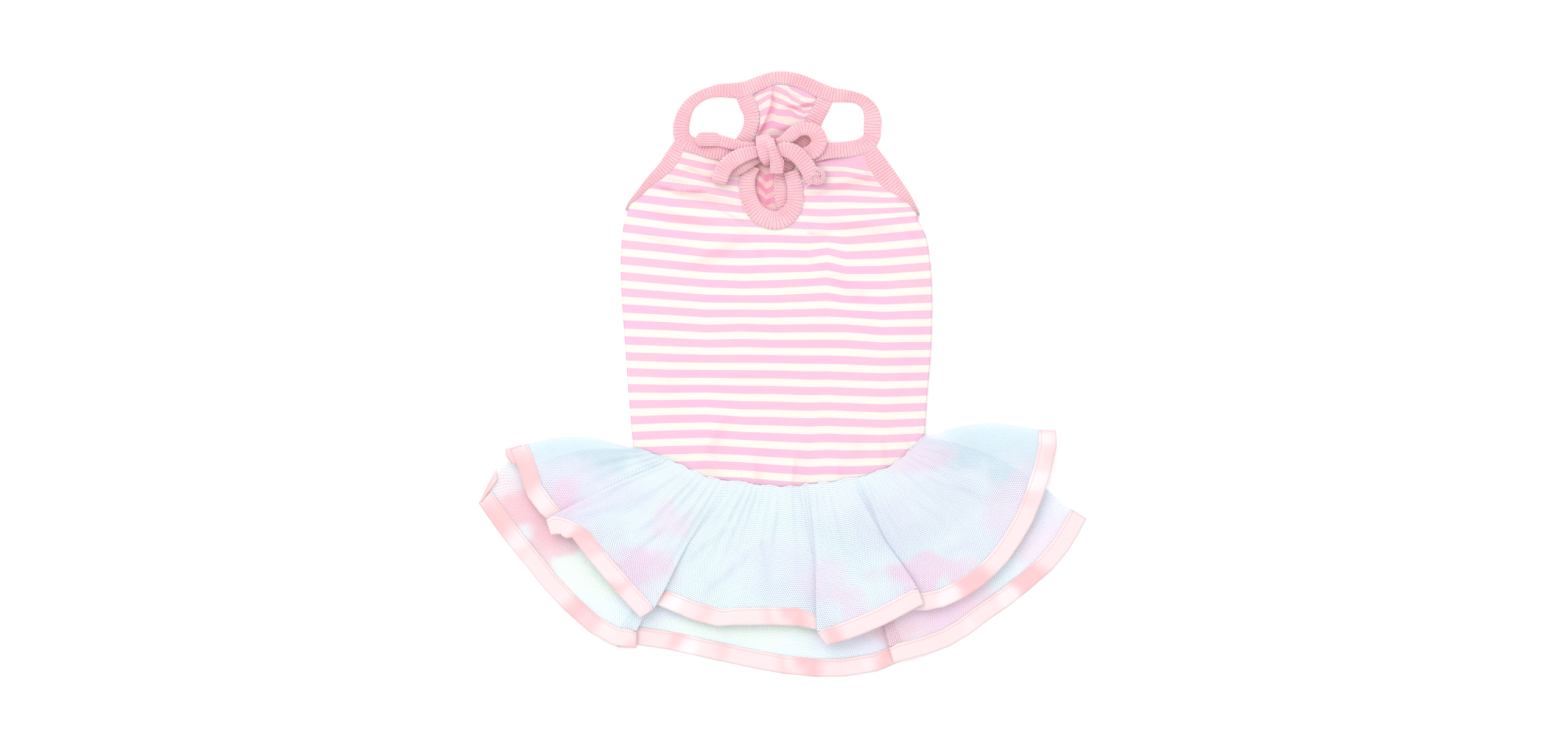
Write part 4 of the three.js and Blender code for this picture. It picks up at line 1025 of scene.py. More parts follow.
def make_back_panel(dress):
    inset = [SimpleNamespace(x=row.x, y=row.y + GAP) for row in WAIST]
    lines = [Line(rows) for rows in (BACK["top"], inset, BACK["left"], BACK["right"])]
    grid = spanned(*lines, 150, 150)
    tuck(grid[0], grid[1], NECK_TUCK)
    for edge, inner in ((0, 1), (-1, -2)):
        bound = grid[:, edge, 1] > BOUND_ABOVE[edge]
        tuck(grid[:, edge], grid[:, inner], np.where(bound, LEG_TUCK, 0))
    x, y = grid[..., 0], grid[..., 1]
    creases = crease_height(BACK_CREASES, x, y) + crease_height(SMALL_CREASES, x, y)
    waves = np.sin(x / RIPPLE.wave + RIPPLE.wander * np.sin(y / RIPPLE.over))
    ripple = RIPPLE.height * waves * smooth((RIPPLE.start - y) / RIPPLE.fade)
    grid[..., 2] = back_height(x, y) + creases + ripple
    uv = striped_uv(STRIPES, STRIPE_PLACES, grid)
    top = TOP_SHADE["most"] * smooth((y - TOP_SHADE["start"]) / TOP_SHADE["wide"])
    shade = crease_shade(creases + 2 * ripple, x, y) + top
    piece = thick_cloth("BackPanel", shell(grid, uv, JERSEY, {"Shade": shade}))
    cut_away(piece, KEYHOLE_CUT, -5, 15)
    dressed(piece, look_named("StripedJersey", dress), "jersey", "back_panel")


def crease_shade(height, x, y):
    """How much shade a crease's far side has, with the light from the neck's left."""
    down = np.gradient(height, axis=0) / np.minimum(np.gradient(y, axis=0), -0.1)
    across = np.gradient(height, axis=1) / np.maximum(np.gradient(x, axis=1), 0.1)
    light = CREASE_LIGHT
    return np.clip(light["strength"] * (down - light["from_left"] * across), 0, light["most"])


# Finer folds on the chest panel's neck, over its creases
CHEST_FOLDS = table(
    "x y x2 y2 rise wide",
    (-7.4, 171.4, -8.8, 158, 0.7, 1),
    (-8.6, 160, -13, 148, 0.8, 1.1),
    (-12.4, 150, -20, 136, 0.9, 1.3),
    (19, 163.6, 8, 160, 0.7, 1.1),
    (9, 160.4, 0, 161.4, 0.5, 1.1),
    (2, 169, 12, 165, 0.5, 1.1),
    (-16, 117, -8, 108, 0.6, 1.1),
    (-8, 108, -12, 100, 0.5, 1.2),
)


def make_chest_panel(dress):
    neck = {key: Line(rows) for key, rows in CHEST_NECK.items()}
    ends = Line([CHEST_NECK["left"][-1], CHEST_NECK["right"][-1]])
    grid = spanned(neck["top"], ends, neck["left"], neck["right"], 64, 110)
    tuck(grid[0], grid[1], NECK_TUCK)
    tuck(grid[:, 0], grid[:, 1], LEG_TUCK)
    tuck(grid[:, -1], grid[:, -2], LEG_TUCK)
    x, y = grid[..., 0], grid[..., 1]
    creases = crease_height(CHEST_CREASES, x, y) + crease_height(CHEST_FOLDS, x, y)
    grid[..., 2] = CHEST_NECK_Z + creases
    shade = 0.85 - 0.65 * smooth((y - 106) / 62) + crease_shade(creases, x, y)
    body = spanned(*(Line(rows) for rows in CHEST_BODY), 90, 84)
    body[..., 2] = CHEST_BODY_Z
    seen = KEYHOLE_SHADE
    near = np.exp(-(((body[..., 0] - seen.x) / seen.wide) ** 2))
    dark = seen.strength * near * smooth((body[..., 1] - seen.y) / seen.fade)
    shells = (
        shell(cloth, striped_uv(CHEST_STRIPES, CHEST_PLACES, cloth), JERSEY, {"Shade": tone})
        for cloth, tone in ((grid, shade), (body, dark))
    )
    piece = thick_cloth("ChestPanel", *shells)
    dressed(piece, look_named("StripedJersey", dress), "jersey", "chest_panel")


# Bindings


def make_neck_strip(dress):
    """One strip from tie to tie: the back's neck edge, a strap, the chest's neck edge and back."""
    rows = BACK_NECK_LEFT[::-1] + STRAP_LEFT[-2::-1] + NECK_EDGE[1:] + STRAP_RIGHT[1:] + BACK_NECK_RIGHT[1:]
    strip = Strip(rows)
    stitch = [
        (Strip(NECK_EDGE), -NECK_STITCH, 0, 1),
        (Strip(STRAP_LEFT), NECK_STITCH, 0, 0.1),
        (Strip(STRAP_RIGHT), -NECK_STITCH, 0, 0.1),
        (Strip(BACK_NECK_LEFT), -NECK_STITCH, 0.2, 1),
        (Strip(BACK_NECK_RIGHT), NECK_STITCH, 0.2, 1),
    ]
    nodes = (
        "chest_neck_binding", "strap_left", "strap_right",
        "back_neck_binding_left", "back_neck_binding_right",
    )
    piece = rib_piece("NeckStrip", dress, strip, *nodes)
    threads = chain_stitch("NeckStripStitch", dress, *stitch)
    strip.cut()


def make_leg_bindings(dress):
    """Each starts under the neck strip, and the chest panel's two run on under the back panel."""
    for side, start, shown, hidden, edge in (
        ("Left", (-24.2, 167.4, 0.15, 9.4), CHEST_LEG_LEFT, CHEST_LEG_LEFT_HIDDEN, NECK_STITCH),
        ("Right", (25, 165.4, 0.15, 9), CHEST_LEG_RIGHT, CHEST_LEG_RIGHT_HIDDEN, -NECK_STITCH),
    ):
        strip = Strip(strip_rows(start) + shown, wall=1.3)
        stitch = [(strip, edge, 0.05, 1)]
        strip_piece("ChestLeg" + side, dress, "leg_binding_chest_" + side.lower(), strip, stitch=stitch)
        under = Strip(hidden, wall=1.0, ribbed=False)
        covered = rib_piece("ChestLegCovered" + side, dress, under)
        under.cut()
    for side, start, rows in (
        ("Left", (-61.6, 138, 0.15, 7), BACK_LEG_LEFT),
        ("Right", (49.6, 136, 0.15, 8), BACK_LEG_RIGHT),
    ):
        strip = Strip(strip_rows(start) + rows, wall=1.6)
        strip_piece("BackLeg" + side, dress, "leg_binding_back_" + side.lower(), strip)


def make_keyhole(dress):
    strip = Strip(KEYHOLE)
    stitch = [(strip, -BOW_STITCH, 0, 1)]
    strip_piece("KeyholeBinding", dress, "keyhole_binding", strip, stitch=stitch)


# Bow

KNOT = SimpleNamespace(x=-10.3, y=133.8, turn=0.3)
# The strip's turn over the knot, by distance up from the knot's middle
KNOT_ARCH = table(
    "along z width",
    (7.6, 4.9, 6), (7.2, 7.2, 7.4), (5.8, 9.2, 9), (2.6, 10.3, 10.4), (-1.6, 10.3, 10.8),
    (-5, 9.1, 10), (-6.8, 7.1, 8.6), (-7.4, 5, 7),
)
KNOT_FOLD = strip_rows(
    (-5.4, 131.6, 8.4, 2), (-3.6, 129.4, 8.6, 3.2), (-1.9, 126.8, 8.2, 3.8), (-2, 123.8, 7.4, 3.8),
    (-3.2, 120.8, 6.6, 3),
)
# The cut ends of the two tails: a rolled end with its loops of thread, and one that is turned flat
TAIL_CURL = strip_rows(
    (16.6, 121.6, 6.4, 1.6), (19.5, 122.4, 6.8, 2.2), (22.6, 120.4, 6.6, 2.6), (23.6, 117.7, 6.2, 2.8),
    (22.9, 115.3, 5.8, 2.8), (19.8, 114.1, 5.6, 2.6), (16.9, 114.8, 5.8, 2.4), (15.8, 116.7, 6.2, 2.2),
    (16.9, 118.5, 6.6, 2.2), (19.8, 119.2, 6.8, 2), (21.6, 118.4, 6.6, 1.6),
)
TAIL_PAD = strip_rows(
    (-45, 143.8, 3.8, 9), (-45, 142.6, 4.2, 12.4), (-45, 140.9, 4.4, 14.4), (-45, 139.1, 4.4, 14.8),
    (-45, 137.5, 4.2, 13.4), (-45, 136.2, 3.8, 10),
)
RIGHT_THREADS = (
    ((14.6, 116.2, 5.6), (12.6, 116, 5.2), (10.6, 115, 4.8), (8.2, 112.8, 4.5)),
    ((14.4, 113.6, 5.2), (13.4, 111.6, 4.6), (13, 109.6, 4)),
    ((22.6, 121.8, 6), (24.6, 122.2, 5.4), (25.6, 121, 4.8)),
)
LEFT_THREADS = (
    ((-51, 138.6, 3), (-51.6, 137, 2.6), (-52.6, 135.6, 2.4)),
    ((-49, 136.8, 3.4), (-50.6, 136.4, 3), (-51.6, 134.8, 2.4)),
)


def loose_threads(name, dress, *paths):
    threads = []
    for number, path in enumerate(paths):
        thread = Strip(strip_rows(*path), wall=0.28, width=0.3, ribbed=False)
        threads.append(dressed(thread.mesh(f"{name}{number}"), look_named("Thread", dress), "rib"))
    return threads


def make_bow(dress):
    """The bow at the keyhole: two loops, two tails, and the strip's turn over the knot."""
    roll = Strip(TAIL_CURL, wall=1.5, pitch=1.2)
    right_end = [
        rib_piece("TailCurl", dress, roll),
        chain_stitch("TailCurlStitch", dress, (roll, 0.0, 0.05, 0.98)),
        *loose_threads("RightThread", dress, *RIGHT_THREADS),
    ]
    left_end = [
        rib_piece("TailPad", dress, Strip(TAIL_PAD, wall=1.3, pitch=1.35)),
        *loose_threads("LeftThread", dress, *LEFT_THREADS),
    ]
    for name, node, rows, edges, ends in (
        ("LoopLeft", "bow_loop_left", LOOP_LEFT, [(-BOW_STITCH, 0.02, 0.44)], ()),
        ("LoopRight", "bow_loop_right", LOOP_RIGHT, [], ()),
        ("TailLeft", "tie_tail_left", TAIL_LEFT[:-1], [], left_end),
        ("TailRight", "tie_tail_right", TAIL_RIGHT, [(BOW_STITCH, 0.04, 0.97)], right_end),
    ):
        strip = Strip(rows)
        stitch = [(strip, *edge) for edge in edges]
        strip_piece(name, dress, node, strip, stitch=stitch)
    make_knot(dress)


def make_knot(dress):
    up = (-math.sin(KNOT.turn), math.cos(KNOT.turn))
    arch = ((KNOT.x + up[0] * row.along, KNOT.y + up[1] * row.along, row.z, row.width) for row in KNOT_ARCH)
    wrap = Strip(strip_rows(*arch), wall=1.6, pitch=1.5)
    curl = Strip(KNOT_CURL, wall=1.5)
    fold = Strip(KNOT_FOLD, wall=1.6, pitch=1.4)
    turns = [rib_piece("KnotCurl", dress, curl), rib_piece("KnotFold", dress, fold)]
    stitch = [(curl, -0.3, 0.04, 0.9)]
    strip_piece("KnotWrap", dress, "bow_knot", wrap, stitch=stitch)


# Skirt

LEAF = 1.7  # from one leaf of a fold to the next
BEND = 1.3  # how far a fold's edge stands out past its leaves
FOLD_WAIST = 0.032  # share of the waist that one fold takes up
RISE_BY = 0.25  # share of its depth in which a tier reaches its hem's height
FOLD_FROM, FOLD_OVER = 0.4, 0.52  # shares of the depth: where the folds start, and how long they take
LEVEL_BLEND = 0.035  # share of the waist over which the levels run together above the folds
CROWDING = 1.25  # the power that crowds a tier's rows towards the waist
GATHER_START = 0.12  # share of the depth in which the gathers reach their full height
FRILL_DEPTH = 0.05  # share of the depth that stands past the waist seam as a frill
HEM_CALM = 0.12  # share of the depth over which creases fade out at the hem
CORNER = SimpleNamespace(middle=0.9, wide=0.12, end=0.93, fade=0.07)  # where a tier's left corner is drawn up
WAIST_LONG = 190  # about the waist seam's length, for the shade in the gathers
COLUMN = ("x", "y", "turn", "waist", "level")  # what a column of a tier holds
# A fold's places: which leaf end it is at, how far round the bend, and its share of the climb
FOLD_PLACES = table(
    "end bend climb",
    (0, 0, 0), (0, 0.7, 0.08), (0, 1, 0.22), (0, 0.7, 0.36), (0, 0, 0.43), (0.33, 0, 0.48),
    (0.67, 0, 0.52), (1, 0, 0.57), (1, 0.7, 0.64), (1, 1, 0.78), (1, 0.7, 0.92), (1, 0, 1),
)
# Soft folds in the net, between the gathers
UPPER_FOLDS = table(
    "x y x2 y2 rise wide",
    (-134, -82.8, -113.5, -75, 1.3, 2),
    (-115, -75.6, -92, -63, 1.2, 2.2),
    (-127, -84.8, -98, -77, 0.9, 1.6),
    (-104, -96, -72, -84, 0.8, 2.4),
    (-91, -104.6, -56, -79.8, 1.2, 2.2),
    (-61, -111.6, -37, -91.4, 1, 2.2),
    (-49, -129.8, -15, -100.6, 1.3, 2.2),
    (-14.8, -99.6, -12, -122, 1, 2),
    (-34, -84, -30, -100, 0.8, 1.8),
    (-4, -78, -8, -98, 0.8, 1.8),
    (12, -80, 16, -110, 0.9, 2),
    (46, -79.4, 82, -124, 1.3, 2.4),
    (58, -76, 74, -98, 0.8, 2),
    (66, -66, 96, -86, 1, 2.2),
    (84, -60, 124, -72, 0.9, 2.6),
    (92, -52, 136, -56, 0.7, 2.8),
    (92, -106, 112, -98, 0.8, 2.4),
)
LOWER_FOLDS = table(
    "x y x2 y2 rise wide",
    (-168, -70, -140, -108, 0.6, 3),
    (-132, -112, -112, -136, 0.6, 2.4),
    (-62, -146, -20, -158, 0.5, 3),
    (96, -138, 128, -112, 0.9, 2.4),
    (100, -146, 132, -124, 0.8, 2),
    (112, -118, 140, -108, 0.7, 2),
    (140, -104, 160, -84, 0.6, 2.4),
)
# A tier's height at its hem (floor) and at its waist (start), the number and height (puff) of its gathers,
# how far its sides bow up (sag), its frill past the seam, and how far its left corner is drawn up
UPPER_TIER = SimpleNamespace(
    hem=UPPER_HEM, floor=5.6, start=3.5, gathers=46, puff=1.45, sag=6, seed=3, frill=1, dim=0.15,
    creases=UPPER_FOLDS, corner=0,
)
LOWER_TIER = SimpleNamespace(
    hem=LOWER_HEM, floor=0.5, start=1.8, gathers=36, puff=1.0, sag=9, seed=8, frill=0, dim=0.35,
    creases=LOWER_FOLDS, corner=12,
)


def fold_columns(row):
    """The columns of one S-fold at the hem: round a bend, back along its middle leaf, and round again."""
    along = math.radians(row.turn + 90)
    first = 0 if row.to < row.level else row.back
    columns = []
    for place in FOLD_PLACES:
        out = mix(first, first - row.back, place.end) + BEND * place.bend * (1 if place.end < 0.5 else -1)
        share = FOLD_WAIST * (len(columns) / (len(FOLD_PLACES) - 1))
        x, y = row.x + out * math.cos(along), row.y + out * math.sin(along)
        level = mix(row.level, row.to, place.climb)
        values = (x, y, row.turn, row.waist + share, level)
        columns.append(SimpleNamespace(**dict(zip(COLUMN, values)), fold=True))
    return columns


def tier_columns(tier, fine=5):
    rows = []
    for row in tier.hem:
        plain = SimpleNamespace(**{key: getattr(row, key) for key in COLUMN}, fold=False)
        rows += fold_columns(row) if row.back else [plain]
    columns = []
    for a, b in zip(rows, rows[1:]):
        wanted = (b.waist - a.waist) * tier.gathers * fine
        steps = 1 if a.fold and b.fold else max(1, round(wanted))
        for s in range(steps):
            t = s / steps
            values = {key: mix(getattr(a, key), getattr(b, key), t) for key in COLUMN}
            columns.append(SimpleNamespace(**values, fold=s == 0 and a.fold))
    return columns + [rows[-1]]


def column_values(columns, key):
    return np.array([getattr(column, key) for column in columns], float)


def pulled_out(columns):
    """Where each fold's columns would reach if the fold were pulled out flat."""
    waist = column_values(columns, "waist")
    plain = np.array([not column.fold for column in columns])
    return [np.interp(waist, waist[plain], column_values(columns, key)[plain]) for key in ("x", "y")]


def gathers_at(tier, waist):
    """Height of the gathers along the waist, uneven as pulled threads leave them."""
    phase = waist * tier.gathers * 2 * math.pi
    wander = 1.3 * np.sin(waist * 23 + tier.seed) + 0.8 * np.sin(waist * 61 + 2 * tier.seed)
    fine = 0.5 + 0.5 * np.sin(phase + wander)
    broad = 0.5 + 0.5 * np.sin(0.31 * phase + 2.1 * np.sin(waist * 17 + tier.seed))
    patch = 0.5 + 0.5 * np.sin(waist * 37 + 1.7 * tier.seed)
    return fine * (0.3 + 0.7 * patch), broad


def hem_far(columns):
    """Each column's distance along the hem."""
    x, y = column_values(columns, "x"), column_values(columns, "y")
    return np.concatenate([[0.0], np.cumsum(np.hypot(np.diff(x), np.diff(y)))])


def tier_surface(tier, columns, rows=44):
    """A tier's points, in rows from the waist to the hem, and how far each is turned away in a gather, which
    the net's painted shade follows.
    """
    v = (np.linspace(0, 1, rows) ** CROWDING)[:, None]
    waist = column_values(columns, "waist")
    root = Line(WAIST).share(waist)
    flat_x, flat_y = pulled_out(columns)
    open_out = smooth((v - FOLD_FROM) / FOLD_OVER)
    hem_x = mix(flat_x, column_values(columns, "x"), open_out)
    hem_y = mix(flat_y, column_values(columns, "y"), open_out)
    side = np.maximum(0, 1 - 6 * np.minimum(waist, 1 - waist))
    x = mix(root[:, 0], hem_x, v)
    y = mix(root[:, 1] - GAP, hem_y, v) + tier.sag * side * np.sin(math.pi * v)
    level = column_values(columns, "level")
    near = np.exp(-(((waist[:, None] - waist) / LEVEL_BLEND) ** 2))
    height = tier.floor + LEAF * mix(near @ level / near.sum(axis=1), level, open_out)
    fine, broad = gathers_at(tier, waist)
    still = np.array([1.0 if column.fold else 0.0 for column in columns])
    calm = 1 - np.minimum(1, np.convolve(still, np.ones(7) / 3.5, mode="same"))
    near_side = 0.35 + 0.65 * smooth(1.2 - side)
    gathered = fine * (0.3 + smooth(v / GATHER_START)) * (1 - v) ** 1.5
    waved = 0.7 * broad * np.sin(math.pi * v**0.8)
    puff = tier.puff * near_side * (gathered + waved)
    frill = (0.5 + 0.45 * fine + 0.9 * broad) * tier.frill * np.maximum(0, 1 - v / FRILL_DEPTH)
    corner = np.exp(-(((v - CORNER.middle) / CORNER.wide) ** 2))
    corner = corner * (1 - smooth((v - CORNER.end) / CORNER.fade))
    y = y + frill + tier.corner * np.maximum(0, 1 - 22 * waist) * corner
    creased = crease_height(tier.creases, x, y) * smooth((1 - v) / HEM_CALM)
    held = mix(1, calm, open_out)
    z = mix(tier.start, height, smooth(v / RISE_BY)) + (puff + creased) * held
    # painted shade: how steeply a gather turns away, to darken the net there
    step = np.maximum(np.gradient(waist) * WAIST_LONG, 0.2)
    fold = np.abs(np.gradient(puff + 1.4 * creased, axis=1)) / step
    return np.stack([x, y, z], axis=2), np.clip(fold * 1.5, 0, 1)


# Soft patches of colour in the net: each row has the middle, half the width and half the height of one
PINK = (0.89, 0.67, 0.82)
MINT = (0.82, 0.94, 0.87)
BLUSH = (0.9, 0.5, 0.57)
LILAC = (0.76, 0.76, 0.92)
# painted shade: darker, bluer net at the upper tier's top corners, to tone down the light that falls
# strongest there
SKY_SHADE = (0.58, 0.72, 0.8)
UPPER_TINTS = table(
    "x y wide tall strength colour",
    (-118, -40, 60, 22, 1, SKY_SHADE),
    (130, -40, 50, 24, 1, SKY_SHADE),
    (-124, -72, 40, 22, 0.8, LILAC),
    (-132, -77, 16, 10, 0.7, PINK),
    (-122, -98, 22, 14, 0.4, LILAC),
    (-66, -84, 12, 20, 0.5, PINK),
    (-90, -119, 28, 17, 0.9, PINK),
    (-16, -112, 26, 22, 0.3, LILAC),
    (26, -124, 22, 16, 0.4, PINK),
    (42, -135, 14, 12, 0.5, PINK),
    (79, -47, 24, 12, 0.6, PINK),
    (60, -92, 26, 22, 0.4, LILAC),
    (87, -120, 28, 12, 0.85, PINK),
    (120, -100, 26, 18, 0.5, LILAC),
    (140, -76, 16, 28, 0.5, PINK),
)
LOWER_TINTS = table(
    "x y wide tall strength colour",
    (-163, -66, 22, 16, 0.4, BLUSH),
    (-147, -83, 28, 20, 0.9, BLUSH),
    (-132, -101, 22, 16, 0.7, BLUSH),
    (-118, -123, 28, 16, 0.9, MINT),
    (-20, -152, 70, 12, 0.85, MINT),
    (40, -158, 30, 12, 0.5, LILAC),
    (66, -150, 26, 14, 0.6, BLUSH),
    (98, -139, 40, 18, 1, PINK),
    (150, -100, 22, 20, 0.5, PINK),
    (164, -84, 14, 12, 0.4, LILAC),
)


def make_tier(dress, name, node, tier, tints):
    """One gathered tier of net, from the waist seam to its hem."""
    columns = tier_columns(tier)
    grid, fold = tier_surface(tier, columns)
    far = hem_far(columns)
    depth = np.linalg.norm(np.diff(grid, axis=0), axis=2).cumsum(axis=0)
    depth = np.vstack([np.zeros((1, grid.shape[1])), depth])
    uv = np.stack([np.broadcast_to(far, depth.shape), depth], axis=2).reshape(-1, 2) * MM
    piece = open_cloth(name, grid, uv, {"Fold": fold})
    dressed(piece, net_look(dress, name + "Net", tints, tier.dim), "net", node)
    return columns, far


def make_ribbon(dress, name, node, tier, columns, far):
    """The satin hem: over the net's edge, with its own soft waves."""
    turn = np.radians(column_values(columns, "turn"))
    x, y = column_values(columns, "x"), column_values(columns, "y")
    height = tier.floor + LEAF * column_values(columns, "level")
    width = dress.ribbon_width / MM
    folded = np.array([0.8 if column.fold else 0 for column in columns])
    calm = np.array([0.0 if column.fold else 1.0 for column in columns])
    wave = calm * (0.28 * np.sin(far / 6.3 + tier.seed) + 0.22 * np.sin(far / 14.7))
    shares = np.linspace(0, 1, 9)
    rows = []
    for share in shares:
        out = mix(1.4 * folded - 0.6, width, share)
        lift = wave * math.sin(math.pi * mix(0.15, 0.85, share)) + 0.12 * math.sin(math.pi * share)
        z = height + 0.25 + np.maximum(lift, 0)
        rows.append(np.stack([x + out * np.cos(turn), y + out * np.sin(turn), z], axis=1))
    grid = np.array(rows)
    uv = np.stack(np.meshgrid(far, shares * width), axis=2).reshape(-1, 2) * MM
    piece = thick_cloth(name, shell(grid, uv, 0.4))
    dressed(piece, look_named("SatinRibbon", dress), "ribbon", node)
    turned = ribbon_turn(name.replace("Ribbon", "Turn"), dress)


# Where a ribbon's end is turned under its tier's corner: the turned part's two edges
TURNS = {
    "UpperTurn": (
        table("x y z", (-166, -44.6, 5.2), (-165.4, -49.2, 5.2), (-162.2, -53.4, 5.3)),
        table("x y z", (-156.4, -42, 5.4), (-155.4, -47.6, 5.4), (-152.6, -53.2, 5.4)),
    ),
    "LowerTurn": (
        table("x y z", (-171.4, -56.4, 1.2), (-176.6, -66, 1.2), (-181.2, -76, 1.2)),
        table("x y z", (-171.2, -63.4, 1.6), (-175.4, -69.4, 1.7), (-180.4, -76.4, 1.4)),
    ),
}


def ribbon_turn(name, dress):
    left, right = (Line(rows) for rows in TURNS[name])
    share = np.linspace(0, 1, 20)
    grid = mix(left.share(share)[:, None], right.share(share)[:, None], np.linspace(0, 1, 6)[None, :, None])
    grid = np.swapaxes(grid, 0, 1)[::-1]
    uv = np.stack(np.meshgrid(share * left.length, np.linspace(2, 8, 6)), axis=2).reshape(-1, 2) * MM
    piece = thick_cloth(name, shell(grid, uv, 0.3))
    return dressed(piece, look_named("SatinRibbon", dress), "ribbon")


def make_skirt(dress):
    """Each tier and its ribbon."""
    for name, tier, tints, flat, area, under, ribbon_under in (
        ("Upper", UPPER_TIER, UPPER_TINTS, (0.13, 0.42), 0.0302, "LowerTier", "LowerTier"),
        ("Lower", LOWER_TIER, LOWER_TINTS, (0.13, 0.46), 0.036, "ChestPanel", "UpperTier"),
    ):
        node = name.lower()
        columns, far = make_tier(dress, name + "Tier", f"skirt_{node}_tier", tier, tints)
        make_ribbon(dress, name + "Ribbon", "ribbon_" + node, tier, columns, far)


# Stage


def make_stage():
    """A white floor, soft light from above and a camera straight over the dress."""
    scene = bpy.context.scene
    look = Look("Floor")
    spread = look.ramp(look.noise(look.place(), 3.0), 0.3, 0.7)
    tone = look.mixed(spread, (0.94, 0.94, 0.94), (0.96, 0.96, 0.96))
    white = look.finish(tone, Roughness=0.9, **{"Emission Color": tone, "Emission Strength": 0.12})
    side, level = 3000, -0.4
    corners = [(x * side, y * side, level) for x, y in ((-1, -1), (1, -1), (1, 1), (-1, 1))]
    floor = make_object("Floor", corners, [(0, 1, 2, 3)])
    floor.data.materials.append(white)
    scene.world = bpy.data.worlds.new("Studio")
    scene.world.use_nodes = True
    background = scene.world.node_tree.nodes["Background"]
    background.inputs["Color"].default_value = (1.0, 0.99, 0.985, 1.0)
    background.inputs["Strength"].default_value = 1.0
    for name, place, size, power in (
        ("KeyLight", (-0.8, 1.0, 1.5), 1.6, 16),
        ("FillLight", (1.3, -0.5, 1.7), 1.6, 3),
    ):
        light = bpy.data.lights.new(name, "AREA")
        light.size = size
        light.energy = power
        lamp = bpy.data.objects.new(name, light)
        lamp.location = place
        aim = -lamp.location.normalized()
        lamp.rotation_euler = aim.to_track_quat("-Z", "Y").to_euler()
        scene.collection.objects.link(lamp)
    camera = bpy.data.cameras.new("Camera")
    height = 3.0
    camera.sensor_width = 36.0
    camera.lens = camera.sensor_width * height / (PHOTO["wide"] / PHOTO["pixels_per_mm"] * MM)
    viewer = bpy.data.objects.new("Camera", camera)
    viewer.location = (PHOTO["middle_x"] * MM, 0.0, height)
    scene.collection.objects.link(viewer)
    scene.camera = viewer
    scene.view_settings.view_transform = "Standard"


# The add-on


def colour_property(name, description, default):
    return bpy.props.FloatVectorProperty(
        name=name, description=description, subtype="COLOR", size=3, min=0, max=1, default=default
    )


def length_property(name, description, default):
    return bpy.props.FloatProperty(name=name, description=description, default=default, unit="LENGTH")


class DressSizes(bpy.types.PropertyGroup):
    """Sizes and colours that a maker would change."""

    rib_pitch: length_property("Rib spacing", "From one rib of the knit strip to the next", 0.0018)
    stitch_pitch: length_property("Stitch length", "From one chain stitch to the next", 0.0021)
    net_pitch: length_property("Net hole spacing", "From one hole of the tulle to the next", 0.00132)
    ribbon_width: length_property("Ribbon width", "Width of the satin hem ribbon", 0.0102)
    rib: colour_property("Rib", "Main colour of the rib knit", (0.85, 0.485, 0.55))
    rib_light: colour_property("Rib light", "Lighter patches of the rib knit", (0.87, 0.56, 0.61))
    # painted shade in the grooves between the ribs
    rib_groove_shade: colour_property("Rib groove", "Groove between two ribs", (0.6, 0.25, 0.3))
    cream: colour_property("Cream", "Pale stripes", (0.79, 0.765, 0.69))
    cream_light: colour_property("Cream light", "Lighter flecks in the pale stripes", (0.83, 0.81, 0.76))
    stripe: colour_property("Stripe", "Pink stripes", (0.785, 0.475, 0.645))
    stripe_warm: colour_property("Stripe warm", "Warmer patches of the pink stripes", (0.785, 0.49, 0.62))
    stripe_loop_shade: colour_property("Stripe shadow", "Between the jersey's loops", (0.7, 0.42, 0.5))
    jersey_shade: colour_property("Jersey shade", "Tint of shaded stripes", (0.99, 0.58, 0.64))
    net: colour_property("Net", "Main colour of the tulle", (0.785, 0.905, 0.95))
    net_lilac: colour_property("Net lilac", "Cooler patches of the tulle", (0.79, 0.85, 0.94))
    # painted shade where a gather turns away
    net_fold: colour_property("Net fold", "Tulle where a gather turns away", (0.74, 0.8, 0.9))
    # painted shade: the shaded layers under the net, as its holes show them
    net_hole: colour_property("Net hole", "Tint of what shows through the net's holes", (0.8, 0.81, 0.85))
    ribbon: colour_property("Ribbon", "Satin ribbon", (0.835, 0.675, 0.695))
    ribbon_deep: colour_property("Ribbon deep", "Satin where it turns from the light", (0.84, 0.5, 0.52))
    ribbon_light: colour_property("Ribbon light", "Satin where it catches the light", (0.86, 0.79, 0.815))
    ribbon_seam: colour_property("Ribbon seam", "The ribbon's stitched edge", (0.78, 0.54, 0.56))
    thread: colour_property("Thread", "Chain stitch", (0.86, 0.7, 0.75))


class BackPanel(bpy.types.Operator):
    """Builds the striped back panel with its keyhole"""

    bl_idname = "dress.back_panel"
    bl_label = "Back panel"

    def execute(self, context):
        make_back_panel(context.scene.dress)
        return {"FINISHED"}


class ChestPanel(bpy.types.Operator):
    """Builds the striped chest and belly panel"""

    bl_idname = "dress.chest_panel"
    bl_label = "Chest panel"

    def execute(self, context):
        make_chest_panel(context.scene.dress)
        return {"FINISHED"}


class NeckStrip(bpy.types.Operator):
    """Builds the rib strip on the neck edges and the straps"""

    bl_idname = "dress.neck_strip"
    bl_label = "Neck strip and straps"

    def execute(self, context):
        make_neck_strip(context.scene.dress)
        return {"FINISHED"}


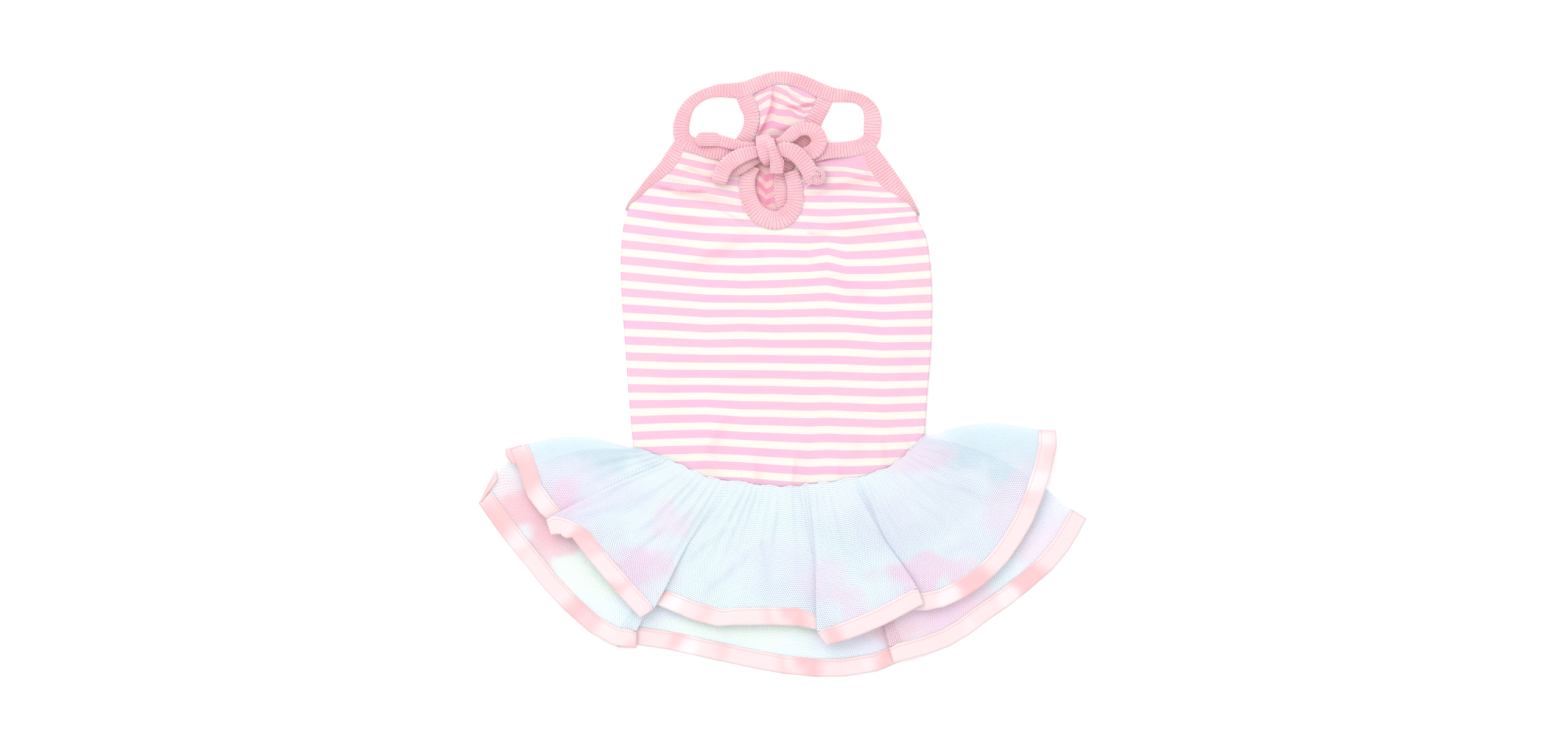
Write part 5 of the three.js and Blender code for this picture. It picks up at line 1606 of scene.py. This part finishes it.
class LegBindings(bpy.types.Operator):
    """Builds the four leg bindings"""

    bl_idname = "dress.leg_bindings"
    bl_label = "Leg bindings"

    def execute(self, context):
        make_leg_bindings(context.scene.dress)
        return {"FINISHED"}


class Keyhole(bpy.types.Operator):
    """Builds the keyhole's binding"""

    bl_idname = "dress.keyhole"
    bl_label = "Keyhole binding"

    def execute(self, context):
        make_keyhole(context.scene.dress)
        return {"FINISHED"}


class Bow(bpy.types.Operator):
    """Builds the bow with its loops, tails and knot"""

    bl_idname = "dress.bow"
    bl_label = "Bow"

    def execute(self, context):
        make_bow(context.scene.dress)
        return {"FINISHED"}


class Skirt(bpy.types.Operator):
    """Builds the two gathered tulle tiers and their ribbon hems"""

    bl_idname = "dress.skirt"
    bl_label = "Skirt"

    def execute(self, context):
        make_skirt(context.scene.dress)
        return {"FINISHED"}


class Stage(bpy.types.Operator):
    """Builds the floor, the lights and the camera"""

    bl_idname = "dress.stage"
    bl_label = "Stage"

    def execute(self, context):
        make_stage()
        return {"FINISHED"}


OPERATORS = (Stage, ChestPanel, NeckStrip, LegBindings, BackPanel, Keyhole, Bow, Skirt)


class DressPanel(bpy.types.Panel):
    """Lists the dress's pieces in the sidebar"""

    bl_idname = "VIEW3D_PT_dress"
    bl_label = "Ballerina dress"
    bl_space_type = "VIEW_3D"
    bl_region_type = "UI"
    bl_category = "Dress"

    def draw(self, context):
        dress = context.scene.dress
        for name in dress.bl_rna.properties.keys():
            if name not in ("rna_type", "name"):
                self.layout.prop(dress, name)
        for operator in OPERATORS:
            self.layout.operator(operator.bl_idname)


CLASSES = (DressSizes, *OPERATORS, DressPanel)


def register():
    for each in CLASSES:
        bpy.utils.register_class(each)
    bpy.types.Scene.dress = bpy.props.PointerProperty(type=DressSizes)


def unregister():
    del bpy.types.Scene.dress
    for each in reversed(CLASSES):
        bpy.utils.unregister_class(each)


def main():
    register()
    for operator in OPERATORS:
        group, name = operator.bl_idname.split(".")
        getattr(getattr(bpy.ops, group), name)()


if __name__ == "__main__":
    main()
